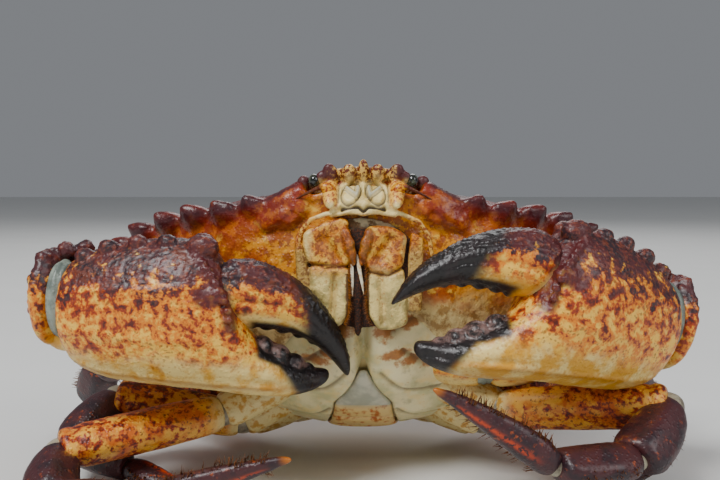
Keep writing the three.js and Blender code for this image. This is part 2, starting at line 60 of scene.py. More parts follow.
# Floor and light
# A broad sheet of pale matt board under the crab, with no edge in sight.
# One large soft lamp hangs high on the left, and weaker ones on the right and behind, in a pale room.
class Value:
    """A socket's number, on which sums and products add Math nodes."""

    def __init__(self, finish, socket):
        self.finish = finish
        self.socket = socket

    def _math(self, operation, first, second=0.0):
        return self.finish.node(
            "ShaderNodeMath", {"operation": operation}, {0: first, 1: second}
        )

    def __add__(self, other):
        return self._math("ADD", self, other)

    __radd__ = __add__

    def __sub__(self, other):
        return self._math("SUBTRACT", self, other)

    def __rsub__(self, other):
        return self._math("SUBTRACT", other, self)

    def __mul__(self, other):
        return self._math("MULTIPLY", self, other)

    __rmul__ = __mul__


def paint(red, green, blue):
    """A colour as the eye reads it, 0 to 255, drawn a little deeper because soft light washes it out."""
    light = [(c / 255 / 12.92) if c <= 10 else ((c / 255 + 0.055) / 1.055) ** 2.4 for c in (red, green, blue)]
    grey = sum(light) / 3
    return tuple(min(1.0, max(0.0, grey + (c - grey) * 1.32)) for c in light) + (1.0,)


class Finish:
    """A material under construction."""

    def __init__(self, name):
        self.material = bpy.data.materials.new(name)
        self.material.use_nodes = True
        self.tree = self.material.node_tree
        self.shader = self.tree.nodes["Principled BSDF"]
        self.place = self.node("ShaderNodeTexCoord", {}, {}, "Object")

    def node(self, kind, settings, inputs, output=0):
        made = self.tree.nodes.new(kind)
        for key, setting in settings.items():
            setattr(made, key, setting)
        for key, given in inputs.items():
            self.feed(made.inputs[key], given)
        return Value(self, made.outputs[output])

    def feed(self, socket, given):
        if isinstance(given, Value):
            self.tree.links.new(given.socket, socket)
        else:
            socket.default_value = given

    def mix(self, under, over, share):
        """`over` laid on `under` by `share`; each is an earlier mix or plain red, green and blue."""
        under, over = [paint(*c) if isinstance(c, tuple) else c for c in (under, over)]
        return self.node("ShaderNodeMix", {"data_type": "RGBA"}, {0: share, 6: under, 7: over}, 2)

    def blend(self, under, over, number, low, high, most=1):
        """`over` laid on `under` where `number` passes from low to high, and by `most` at the most."""
        share = self.step(number, low, high)
        return self.mix(under, over, share if most == 1 else share * most)

    def step(self, number, low, high):
        return self.node(
            "ShaderNodeMapRange",
            {"interpolation_type": "SMOOTHSTEP"},
            {0: number, 1: low, 2: high},
        )

    def cloud(self, size_mm, detail=3.0, rough=0.55, place=None):
        return self.node(
            "ShaderNodeTexNoise",
            {},
            {"Vector": place or self.place, "Scale": 1000 / size_mm, "Detail": detail, "Roughness": rough},
        )

    def cells(self, size_mm, place=None):
        return self.node(
            "ShaderNodeTexVoronoi",
            {"feature": "F1"},
            {"Vector": place or self.place, "Scale": 1000 / size_mm},
        )

    def wander(self, size_mm, reach_mm):
        """Places pushed about by a slow noise, so that spots lose their round shape."""
        drift = self.node(
            "ShaderNodeTexNoise", {}, {"Vector": self.place, "Scale": 1000 / size_mm, "Detail": 2.0}, 1
        )
        return self.node(
            "ShaderNodeVectorMath",
            {"operation": "MULTIPLY_ADD"},
            {0: drift, 1: (reach_mm * mm,) * 3, 2: self.place},
        )

    def trait(self, name):
        return self.node("ShaderNodeAttribute", {"attribute_name": name}, {}, 2)

    def surface(self, **given):
        for key, what in given.items():
            self.feed(self.shader.inputs[key.replace("_", " ")], what)

    def relief(self, height, depth_mm, normal=None):
        inputs = {"Height": height, "Distance": depth_mm * mm, "Strength": 1.0}
        if normal:
            inputs["Normal"] = normal
        return self.node("ShaderNodeBump", {}, inputs)


board = Finish("pale board")
board_grain = board.cloud(60, 2)
board.surface(Base_Color=board.mix((216, 216, 214), (223, 223, 221), board_grain), Roughness=0.85)
bpy.ops.object.select_all(action="DESELECT")
bpy.ops.mesh.primitive_plane_add(size=9, location=(0, 0, 0))
floor = bpy.context.object
floor.name = "floor"
floor.data.materials.append(board.material)

for lamp_name, place, aim, size, power in (
    ("lamp_left", (-0.55, -0.75, 1.1), (0, 0, 0.05), 0.5, 19.0),
    ("lamp_right", (0.95, -0.6, 0.7), (0, 0, 0.05), 0.6, 5.0),
    ("lamp_behind", (0.1, 0.9, 0.9), (0, 0, 0.05), 0.7, 5.0),
):
    bpy.ops.object.light_add(type="AREA", location=place)
    lamp = bpy.context.object
    lamp.name = lamp_name
    lamp.data.size = size
    lamp.data.energy = power
    lamp.rotation_euler = (Vector(aim) - Vector(place)).to_track_quat("-Z", "Y").to_euler()
world = bpy.data.worlds.new("pale room")
bpy.context.scene.world = world
world.use_nodes = True
world.node_tree.nodes["Background"].inputs["Color"].default_value = paint(214, 217, 222)
world.node_tree.nodes["Background"].inputs["Strength"].default_value = 0.32


# Shell
# The real shell is one hard plate of chitin and lime, cast off and grown again at each moult.
# Its toothed edge is grown in one with it, and its front lip carries the eyes and feelers.
# It is hollow and holds the whole body.
shell_width = 148
shell_centre = 0.021 * shell_width
edge_half = 0.012 * shell_width
body_height = 50
body_tilt = -38.5
body_place = (
    Matrix.Translation(Vector((0, 0, body_height)) + plan_shift)
    @ Matrix.Rotation(math.radians(body_tilt), 4, "X")
)


def bell(distance, width):
    """1 at no distance, and falling off softly over about `width`."""
    return np.exp(-((distance / width) ** 2))


def smooth(x, low, high):
    t = np.clip((x - low) / (high - low), 0, 1)
    return t * t * (3 - 2 * t)


def edge_reach(turn):
    """How far the shell's edge lies from its centre, without its teeth and brow."""
    across, ahead = np.abs(np.sin(turn)), np.cos(turn)
    power = np.where(ahead > 0, 1.8, 1.5)
    reach = np.where(ahead > 0, 0.29 * shell_width, 0.333 * shell_width)
    oval = ((across / (0.474 * shell_width)) ** power + (np.abs(ahead) / reach) ** power) ** (-1 / power)
    flat = (oval**-8.0 + (np.abs(ahead) / (0.289 * shell_width)) ** 8) ** (-1 / 8)
    return np.where(ahead < 0, flat, oval)


def brow_reach(turn):
    lip = 0.0235 * shell_width * (1 - smooth(np.abs(np.sin(turn)), 0.25, 0.42))
    return np.where(np.cos(turn) > 0, lip, 0)


def edge_dip(turn):
    from_front = np.degrees(np.arccos(np.clip(np.cos(turn), -1, 1)))
    return 0.029 * shell_width * bell(from_front - 38, 20)


def share_of(x, y):
    """0 at the shell's centre and 1 at its edge."""
    turn = np.arctan2(x, shell_centre - y)
    reach = np.hypot(x, shell_centre - y)
    share = reach / edge_reach(turn)
    for _ in range(3):
        share = reach / (edge_reach(turn) + brow_reach(turn) * np.minimum(share, 1) ** 4)
    return share, turn


swellings = (
    (0, -14, 13, 2.2), (29, 6, 17, 2.4), (-29, 6, 17, 2.4), (0, 21, 9, 1.8),
    (27, -24, 9, 1.5), (-27, -24, 9, 1.5), (11, -33, 6, 1), (-11, -33, 6, 1),
)


def dome_z(x, y, share):
    swell = sum(h * np.exp(-((x - cx) ** 2 + (y - cy) ** 2) / r**2) for cx, cy, r, h in swellings)
    inside = np.clip(share, 0, 1)
    rise = (1 - inside**2.4) ** 0.8
    return edge_half + (0.1 * shell_width - edge_half) * rise + swell * (1 - inside**6)


def belly_z(share, turn):
    flank = smooth(1 - np.cos(turn), 0.03, 0.6)
    inside = np.clip(share, 0, 1)
    fall = (1 - inside**2.5) ** (0.9 + 0.28 * flank)
    return -edge_half - (0.27 * shell_width - edge_half) * fall


def points_of(piece):
    flat = np.empty(len(piece.data.vertices) * 3)
    piece.data.vertices.foreach_get("co", flat)
    return flat.reshape(-1, 3)


def set_points(piece, points):
    piece.data.vertices.foreach_set("co", np.ascontiguousarray(points, dtype=float).ravel())
    piece.data.update()


def from_line(points, line):
    """The distance of each point from a broken line."""
    best = np.full(len(points), 1e9)
    corners = np.array(line, float)
    for start, end in zip(corners[:-1], corners[1:]):
        run = end - start
        along = np.clip((points - start) @ run / (run @ run), 0, 1)
        best = np.minimum(best, np.linalg.norm(points - start - along[:, None] * run, axis=1))
    return best


def only(*pieces):
    bpy.ops.object.select_all(action="DESELECT")
    for piece in pieces:
        piece.select_set(True)
    bpy.context.view_layer.objects.active = pieces[0]
    return pieces[0]


def ball(size, place, turned=(0, 0, 0), segments=20, rings=12):
    """An egg of three half sizes in millimetres; its mesh stays in millimetres until it is set in place."""
    bpy.ops.object.select_all(action="DESELECT")
    bpy.ops.mesh.primitive_uv_sphere_add(segments=segments, ring_count=rings, radius=1)
    egg = bpy.context.object
    round_x, round_y, round_z = (Matrix.Rotation(angle, 3, axis) for angle, axis in zip(turned, "XYZ"))
    egg.matrix_world = Matrix.Translation(Vector(place)) @ Matrix.LocRotScale(
        None, round_z @ round_y @ round_x, Vector(size)
    )
    bpy.ops.object.transform_apply(location=True, rotation=True, scale=True)
    return egg


def join(pieces):
    only(*pieces)
    if len(pieces) > 1:
        bpy.ops.object.join()
    return bpy.context.object


def finish_with(piece, kind, **settings):
    only(piece)
    modifier = piece.modifiers.new(kind.lower(), kind)
    for key, setting in settings.items():
        setattr(modifier, key, setting)
    bpy.ops.object.modifier_apply(modifier=modifier.name)
    return piece


def skin(piece, grain_mm, rounds):
    """One closed skin over all the forms of a piece, with the joins between them softened."""
    finish_with(piece, "REMESH", mode="VOXEL", voxel_size=grain_mm, adaptivity=0.0)
    return finish_with(piece, "SMOOTH", factor=0.5, iterations=rounds)


def pitted(piece, size_mm, depth_mm):
    """Presses a fine uneven grain into the surface."""
    grain = bpy.data.textures.new(piece.name + " grain", "CLOUDS")
    grain.noise_scale = size_mm
    return finish_with(
        piece, "DISPLACE", texture=grain, texture_coords="LOCAL", strength=depth_mm, mid_level=0.5
    )


def set_in_place(piece, name, place=Matrix.Identity(4)):
    """Takes a piece from its own millimetres to its place on the crab in metres."""
    piece.name = name
    piece.data.name = name
    piece.matrix_world = Matrix.Identity(4)
    piece.data.transform(Matrix.Scale(mm, 4) @ place)
    only(piece)
    bpy.ops.object.shade_smooth()
    return piece


def trait(piece, name, numbers):
    layer = piece.data.attributes.new(name, "FLOAT", "POINT")
    layer.data.foreach_set("value", np.ascontiguousarray(numbers, dtype=np.float32))


def traits(piece, **given):
    for name, numbers in given.items():
        trait(piece, name, numbers)


def dress(piece, finish, slot, *nodes):
    piece.data.materials.clear()
    piece.data.materials.append(finish.material)
    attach(piece, "root")
    if nodes:
        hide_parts(*nodes)


shell = ball((1, 1, 1), (0, 0, 0), segments=180, rings=110)
unit = points_of(shell)
share = np.minimum(np.hypot(unit[:, 0], unit[:, 1]), 1)
turn = np.arctan2(unit[:, 0], -unit[:, 1])
reach = edge_reach(turn) * share + brow_reach(turn) * share**5
x, y = np.sin(turn) * reach, shell_centre - np.cos(turn) * reach
z = np.where(unit[:, 2] > 0, dome_z(x, y, share), belly_z(share, turn)) - edge_dip(turn) * share**3
z = np.where(np.abs(unit[:, 2]) < 1e-4, -edge_dip(turn), z)
set_points(shell, np.stack([x, y, z], 1))

# Degrees round from the front of each marginal tooth, and its size against the others.
teeth = []
tooth_rows = (
    (24, 0.6), (35, 0.92), (44, 0.98), (52.6, 1.0), (60.8, 0.98),
    (68.8, 0.96), (76.4, 0.94), (83.6, 0.94), (91, 1.0), (99, 0.6),
)
for side in (-1, 1):
    for degrees, size in tooth_rows:
        turn_here = math.radians(degrees)
        out = float(edge_reach(turn_here) + brow_reach(turn_here)) - 0.6
        root = Vector((side * math.sin(turn_here) * out, shell_centre - math.cos(turn_here) * out,
                       -float(edge_dip(turn_here))))
        aim = Vector((side * math.sin(turn_here * 0.86), -math.cos(turn_here * 0.86), 0.12)).normalized()
        wide = aim.cross(Vector((0, 0, 1))).normalized()
        basis = Matrix((wide, aim, wide.cross(aim))).transposed()
        lobe = ball((1, 1, 1), (0, 0, 0), segments=28, rings=18)
        form = points_of(lobe)
        ahead = np.clip(form[:, 1], 0, 1)
        form[:, 0] *= 4.5 * size * (1 - 0.16 * ahead**2)
        form[:, 2] *= 3.0 * math.sqrt(size) * (1 - 0.25 * ahead)
        form[:, 1] *= np.where(form[:, 1] > 0, 5.0 * size, 4.0)
        form[:, 1] += 0.9 * size * bell(form[:, 0], 1.1) * ahead
        form[:, 2] += 0.8 * ahead**2
        set_points(lobe, form @ np.array(basis).T + np.array(root))
        teeth.append(lobe)
        for bead in (-1, 1):
            spot = root + aim * 2.6 * size + wide * bead * 2.9 * size
            teeth.append(ball((1.0, 1.0, 1.0), spot, segments=12, rings=8))
    # Beside the eye the rim stands up in one long low lobe.
    lobe_line = ((15.0, -40.4, -2.2), (18.5, -38.9, -3.8), (22.4, -36.5, -4.0))
    lobe_line = [Vector((side * x, y, z)) for x, y, z in lobe_line]
    for start, end in zip(lobe_line[:-1], lobe_line[1:]):
        for k in range(5):
            at = start.lerp(end, k / 4)
            teeth.append(ball((2.6, 2.6, 3.4), at, (-0.5, 0, 0), segments=20, rings=14))
            teeth.append(ball((3.4, 2.9, 3.6), at + Vector((0, 1.5, -3.0)), segments=20, rings=14))
shell = join([shell] + teeth)
shell = skin(shell, 0.62, rounds=5)


def dent(points, place, sizes, push):
    """Moves what lies within an egg by `push`, most at its middle."""
    away = ((points - np.array(place)) / np.array(sizes)) ** 2
    return points + (np.clip(1 - away.sum(1), 0, 1) ** 1.5)[:, None] * np.array(push)


# The eye sockets, and the seams of the cheeks.
form = points_of(shell)
for side in (-1, 1):
    form = dent(form, (side * 11.8, -44.6, -1.7), (3.3, 5.0, 3.3), (0, 5.2, 0))
    below = (form[:, 2] < -1.0)[:, None]
    for line, deep, broad in (
        (((side * 17, -40, -9), (side * 30, -27, -12), (side * 50, -8, -10), (side * 62, 12, -6)), 0.8, 0.9),
        (((side * 24, -36, -5), (side * 33, -25, -10), (side * 43, -16, -12)), 0.5, 1.6),
    ):
        well = deep * bell(from_line(form, line), broad)
        form = form + below * well[:, None] * np.array((0, 0.45, 0.9))
# Furrows between the swellings of the back.
top = (form[:, 2] > 2)[:, None]
for side in (-1, 1):
    for line, deep, broad in (
        (
            (
                (side * 3, -32, 9), (side * 12, -22, 12), (side * 15, -8, 14), (side * 8, 6, 15),
                (side * 9, 20, 13), (side * 12, 32, 8),
            ),
            0.55, 3.0,
        ),
        (((side * 15, -8, 14), (side * 30, -10, 12), (side * 46, -16, 8)), 0.4, 3.2),
        (((side * 13, 24, 11), (side * 34, 22, 9), (side * 52, 12, 7)), 0.3, 3.4),
    ):
        flat = np.array(line, float)[:, :2]
        well = deep * bell(from_line(form[:, :2], flat), broad)
        form = form - top * well[:, None] * np.array((0, 0, 1))
# The belly is sunk where the breastplate lies.
oval = (np.abs(form[:, 0]) / 24) ** 2.6 + (np.abs(form[:, 1] - 6) / 34) ** 2.6
form[:, 2] += 3.4 * (1 - smooth(oval, 0.7, 0.95)) * (form[:, 2] < -8)
set_points(shell, form)
shell = pitted(shell, 1.9, 0.42)
shell = pitted(shell, 0.75, 0.2)

form = points_of(shell)
share, turn = share_of(form[:, 0], form[:, 1])
traits(
    shell,
    share=share,
    cheek=bell(turn, 0.62) * (form[:, 2] < -1.5),
    level=form[:, 2] + edge_dip(turn) * np.minimum(share, 1) ** 3,
)
set_in_place(shell, "shell", body_place)

carapace = Finish("shell, brick red above and golden orange below")
share = carapace.trait("share")
level = carapace.trait("level")
blotch = carapace.cloud(9, 4, 0.6)
speck = carapace.cloud(1.1, 2, 0.5)
dots = carapace.cells(0.85)
mottle = carapace.cloud(3.2, 5, 0.66)
golden = carapace.blend((208, 146, 52), (160, 88, 26), blotch, 0.42, 0.6)
golden = carapace.blend(golden, (232, 194, 116), carapace.cloud(4, 4, 0.6), 0.54, 0.66, 0.8)
golden = carapace.blend(golden, (116, 52, 20), mottle + (share - 0.8) * 0.5, 0.53, 0.62, 0.75)
golden = carapace.blend(golden, (110, 50, 24), speck, 0.58, 0.68, 0.6)
creamy = carapace.blend((214, 196, 150), (156, 128, 88), mottle, 0.44, 0.6)
golden = carapace.blend(golden, creamy, share + (blotch - 0.5) * 0.2, 0.8, 0.68)
brick = carapace.blend((98, 34, 26), (56, 22, 24), blotch, 0.4, 0.6)
brick = carapace.blend(brick, (156, 82, 46), speck, 0.6, 0.72, 0.5)
cheek = carapace.trait("cheek")
crest = 1 - cheek * carapace.step(level * -1.0 + (mottle - 0.5) * 2.4, 0.1, 1.7)
rusty = carapace.blend((132, 54, 26), (190, 112, 42), mottle, 0.46, 0.62)
outmost = carapace.step(share + (mottle - 0.5) * 0.12 - cheek * 0.03, 0.975, 1.055)
red_rim = carapace.mix(rusty, (58, 24, 30), outmost * crest)
skin_tone = carapace.blend(golden, red_rim, share + (mottle - 0.5) * 0.16 - cheek * 0.07, 0.88, 0.99)
skin_tone = carapace.blend(skin_tone, brick, level, -1.2, 2.2)
carapace.surface(
    Base_Color=skin_tone,
    Roughness=0.32 + speck * 0.16,
    Specular_IOR_Level=0.5,
    Coat_Weight=0.15,
    Coat_Roughness=0.2,
    Normal=carapace.relief(carapace.step(dots, 0.1, 0.5) * -1.0, 0.055, carapace.relief(speck, 0.1)),
)
dress(shell, carapace, "shell", "carapace")


# Breastplate
# The pale floor of the body, a hard thin plate of fused segments with the hips let into its sides.
# A trough runs down its middle from the mouth to the tip of the tail flap.
# It is part of the same outer crust, only thinner and without the colour.
breast = ball((1, 1, 1), (0, 0, 0), segments=150, rings=90)
unit = points_of(breast)
around = np.arctan2(unit[:, 1], unit[:, 0])
out = np.minimum(np.hypot(unit[:, 0], unit[:, 1]), 1)
square = (np.abs(np.cos(around)) ** 2.6 + np.abs(np.sin(around)) ** 2.6) ** (-1 / 2.6)
x = np.cos(around) * square * out * 24
y = 6 + np.sin(around) * square * out * 34
share, turn = share_of(x, y)
z = np.where(unit[:, 2] < 0, belly_z(share, turn) - 0.3, -14.5)
set_points(breast, np.stack([x, y, z], 1))
breast = skin(breast, 0.5, rounds=4)
form = points_of(breast)
under = smooth(-form[:, 2], 16, 20)
seams = (
    (((0, -24), (0, -10)), 1.9, 1.3),
    (((2.4, -26), (7, -22), (12.6, -23.5), (17, -24)), 0.8, 0.7),
    (((9.5, -18), (13.4, -14.6), (17.6, -12.6), (23, -12)), 0.8, 0.6),
    (((4.4, -12.5), (9.4, -8.2), (15, -5.6), (23, -5.2)), 0.45, 0.5),
    (((8.6, 1.5), (12.4, 5.2), (23, 8)), 0.7, 0.6),
    (((10, 12), (13.4, 15), (22, 19)), 0.7, 0.6),
)
# This mask paints shade into the seams and along the edge of the tail flap's seat.
painted_seam_shade = np.zeros(len(form))
for line, deep, broad in seams:
    for side in (-1, 1):
        way = [(side * a, b) for a, b in line]
        well = bell(from_line(form[:, :2], way), broad)
        form[:, 2] += deep * well * under
        painted_seam_shade = np.maximum(painted_seam_shade, well if broad < 1 else well * 0.35)
# Each segment swells a little between its seams.
for place, sizes, lift in (
    ((6.5, -19.5, -34), (7, 5.5, 9), 0.9), ((9.6, -9.5, -38), (8, 6.5, 9), 1.1),
    ((13, 2.5, -38), (9, 5, 9), 0.8),
):
    for side in (-1, 1):
        form = dent(form, (side * place[0], place[1], place[2]), sizes, (0, 0, -lift))
# The seat of the tail flap, and a line of painted shade round it.
seat = np.interp(
    form[:, 1], (-13.4, -12.4, -6, -1.2, 5.6, 20, 34, 43), (-1, 0.9, 4.3, 7.1, 8.0, 10.2, 12.6, 11)
)
beyond = np.abs(form[:, 0]) - seat
form[:, 2] += 1.5 * (1 - smooth(beyond, -0.2, 0.5)) * under * (form[:, 1] > -13.4)
painted_seam_shade = np.maximum(painted_seam_shade, bell(beyond - 0.1, 0.4) * (form[:, 1] > -13.4))
set_points(breast, form)
trait(breast, "painted_seam_shade", painted_seam_shade)
rust = np.zeros(len(form))
for place, sizes in (
    ((5.6, -22.6), (4.6, 2.2)), ((10.5, -23.2), (5.0, 1.6)), ((7.6, -17.4), (5.0, 1.8)),
    ((12.2, -15.2), (5.4, 1.4)), ((16.5, -13.0), (3.6, 1.2)),
):
    for side in (-1, 1):
        away = ((form[:, 0] - side * place[0]) / sizes[0]) ** 2 + ((form[:, 1] - place[1]) / sizes[1]) ** 2
        rust = np.maximum(rust, np.exp(-away))
trait(breast, "rust", rust)
set_in_place(breast, "breastplate", body_place)

pale = Finish("pale breastplate")
wave = pale.cloud(7, 3)
fleck = pale.cloud(0.8, 2)
bone = pale.blend((236, 226, 188), (204, 198, 158), wave, 0.4, 0.65)
bone = pale.blend(bone, (232, 212, 158), pale.cloud(3.2, 2), 0.5, 0.7, 0.6)
bone = pale.blend(bone, (150, 140, 104), pale.cloud(4.2, 4, 0.6), 0.54, 0.7, 0.5)
stain = pale.step(pale.trait("rust") + (pale.cloud(2.2, 4, 0.65) - 0.5) * 1.5, 0.42, 0.8)
bone = pale.mix(bone, pale.mix((196, 132, 56), (128, 70, 30), fleck), stain * 0.9)
bone = pale.blend(bone, (166, 110, 60), fleck, 0.68, 0.76, 0.35)
# Painted shade in the seams and round the tail flap's seat.
bone = pale.mix(bone, (84, 64, 42), pale.trait("painted_seam_shade") * 0.7)
pale.surface(
    Base_Color=bone,
    Roughness=0.38 + wave * 0.14,
    Coat_Weight=0.15,
    Coat_Roughness=0.2,
    Subsurface_Weight=0.12,
    Subsurface_Scale=0.002,
    Normal=pale.relief(fleck + pale.cloud(0.4, 1) * 0.5, 0.05),
)
dress(breast, pale, "belly", "sternum")


# Tail flap
# The narrow tail, folded flat under the body in six jointed plates with a pointed last one.
# The flap lies in a shallow seat of the breastplate.
flap_rows = (
    (-12.4, 0.8), (-11, 1.6), (-8.6, 2.9), (-6, 4.2), (-3.4, 5.6), (-1.2, 6.9), (-0.4, 7.2), (0.2, 7.3),
    (2.8, 7.5), (5.6, 7.8), (6.2, 7.9), (12.6, 8.6), (13.2, 8.7), (19.8, 10), (20.4, 10.1),
    (26.8, 11.6), (27.4, 11.7), (33.6, 12.5), (39.4, 12.4), (43.4, 10),
)


def flap_level(y):
    share, turn = share_of(np.zeros(1), np.array([y]))
    return float(belly_z(share, turn)[0])


flap_parts = []
for first, last, bulge in (
    (0, 6, 0.55), (7, 9, 0.9), (10, 11, 0.9), (12, 13, 0.9), (14, 15, 0.9), (16, 19, 0.9),
):
    plate = ball((1, 1, 1), (0, 0, 0), segments=64, rings=32)
    unit = points_of(plate)
    y_low, y_high = flap_rows[first][0], flap_rows[last][0]
    middle, half = (y_low + y_high) / 2, (y_high - y_low) / 2 + 0.12
    v = np.clip(unit[:, 1] * 1.25, -1, 1)
    y = middle + half * v
    wide = np.interp(y, [r[0] for r in flap_rows], [r[1] for r in flap_rows])
    u = np.clip(unit[:, 0] / np.sqrt(np.maximum(1 - unit[:, 1] ** 2, 0.05)), -1, 1)
    x = u * wide
    level = np.array([flap_level(value) for value in y])
    height = np.sqrt(np.clip(1 - np.maximum(np.abs(u), np.abs(v)) ** 6, 0, 1))
    z = level + 0.5 - np.where(unit[:, 2] < 0, 1.0, -1.0) * height * (1.15 + bulge * (1 - u**2) * 0.5)
    set_points(plate, np.stack([x, y, z], 1))
    flap_parts.append(plate)
flap = join(flap_parts)
flap = skin(flap, 0.3, rounds=3)
form = points_of(flap)
trait(flap, "ahead", form[:, 1])
set_in_place(flap, "tail_flap", body_place)
tail = Finish("tail flap, grey cream with rusty spots")
ahead = tail.trait("ahead")
grey = tail.blend((206, 204, 186), (172, 172, 156), tail.cloud(5, 3), 0.4, 0.65)
warm = tail.blend((222, 196, 146), (176, 104, 52), tail.cloud(1.8, 3), 0.5, 0.66)
grey = tail.blend(grey, warm, ahead, -0.6, 0.6)
tail.surface(
    Base_Color=grey,
    Roughness=0.4,
    Coat_Weight=0.1,
    Subsurface_Weight=0.1,
    Subsurface_Scale=0.002,
    Normal=tail.relief(tail.cloud(0.7, 2), 0.05),
)
dress(flap, tail, "belly", "abdomen")


# Outer mouthparts
# A pair of jointed limbs closes the mouth like two doors, each of a long lower and a squarish upper plate.
# A hairy palp hangs inside each upper plate, and a slim outer strip lies along its side.
# They are thin hard plates set in the mouth frame.
mouth_top = Vector((0, -41.6, -9.4))
mouth_foot = Vector((0, -25.6, -33.2))
door_length = (mouth_top - mouth_foot).length
door_up = (mouth_top - mouth_foot).normalized()
door_out = Vector((1, 0, 0)).cross(door_up)
door_axes = Matrix((Vector((1, 0, 0)), door_up, door_out)).transposed().to_4x4()
door_place = Matrix.Translation(mouth_foot) @ door_axes
hairs_on_door = 260
sides = ((-1, "right"), (1, "left"))
door_outlines = {
    -1: {
        "lower": (
            (12.8, 16.0), (12.1, 10), (10.2, 5.2), (7.8, 1.4), (5.4, 1.5), (3.4, 4.6), (3.1, 9),
            (3.4, 15.7), (8, 15.6),
        ),
        "upper": (
            (12.9, 16.2), (14.5, 20), (14.2, 23.8), (9.4, 26.2), (5.2, 27.4), (3.2, 26.5), (4.2, 22.9),
            (3.2, 19), (3.4, 15.7), (8.6, 15.3),
        ),
        "strip": (
            (10.9, 4.2), (14.6, 4.6), (15.8, 12), (16.4, 22), (15.2, 24.8), (14.5, 20), (13.1, 15.6),
            (12.3, 10),
        ),
    },
    1: {
        "lower": (
            (0.5, 14.4), (5.8, 13.8), (9.5, 15.5), (10.3, 9.4), (10.6, 2.0), (7, 0.7), (3.6, 0.7),
            (1.2, 4.2), (0.5, 9),
        ),
        "upper": (
            (-0.5, 17.4), (1.2, 14.4), (5.8, 13.5), (9.3, 15.4), (9.9, 19), (10.4, 23.1), (7.6, 24.8),
            (4.6, 25.4), (0.6, 25.2), (0.0, 21.4),
        ),
        "strip": (
            (10.6, 5.0), (13.9, 4.9), (14.1, 11.8), (14.3, 22.4), (11.4, 24.0), (10.6, 18), (10.6, 11.4),
        ),
    },
}
door_cores = {}


def copy_of(model):
    """A copy with its own mesh."""
    twin = model.copy()
    twin.data = model.data.copy()
    bpy.context.collection.objects.link(twin)
    return twin


def bristles(roots, aims, long_mm, thick_mm, seed):
    """Short stiff hairs, each a slim cone that stands on its root and leans along its aim."""
    draw = np.random.default_rng(seed)
    bpy.ops.object.select_all(action="DESELECT")
    bpy.ops.mesh.primitive_cone_add(vertices=5, radius1=1, radius2=0.12, depth=1, location=(0, 0, 0.5))
    bpy.ops.object.transform_apply(location=True, rotation=True, scale=True)
    model = bpy.context.object
    trait(model, "hair", np.ones(len(model.data.vertices)))
    hairs = []
    for root, aim in zip(roots, aims):
        lean = Vector(aim).normalized() + Vector(draw.uniform(-0.3, 0.3, 3))
        size = Vector((thick_mm, thick_mm, long_mm * draw.uniform(0.55, 1.15)))
        hair = copy_of(model)
        hair.data.transform(Matrix.LocRotScale(Vector(root), lean.to_track_quat("Z", "X"), size))
        hairs.append(hair)
    bpy.data.objects.remove(model)
    return hairs


def plate_from(outline, thick, round_off, side):
    """A plate cut from its outline, with its edges rounded over, in the frame of the mouth's doors."""
    bpy.ops.object.select_all(action="DESELECT")
    bpy.ops.mesh.primitive_circle_add(vertices=len(outline), radius=1, fill_type="NGON")
    plate = bpy.context.object
    form = points_of(plate)
    form[:, :2] = [(side * x, y) for x, y in outline]
    set_points(plate, form)
    bpy.ops.object.mode_set(mode="EDIT")
    bpy.ops.mesh.select_all(action="SELECT")
    bpy.ops.mesh.extrude_region_move(TRANSFORM_OT_translate={"value": (0, 0, thick)})
    bpy.ops.mesh.select_all(action="SELECT")
    bpy.ops.mesh.normals_make_consistent(inside=False)
    bpy.ops.object.mode_set(mode="OBJECT")
    finish_with(plate, "BEVEL", width=round_off, segments=3, limit_method="NONE")
    return plate


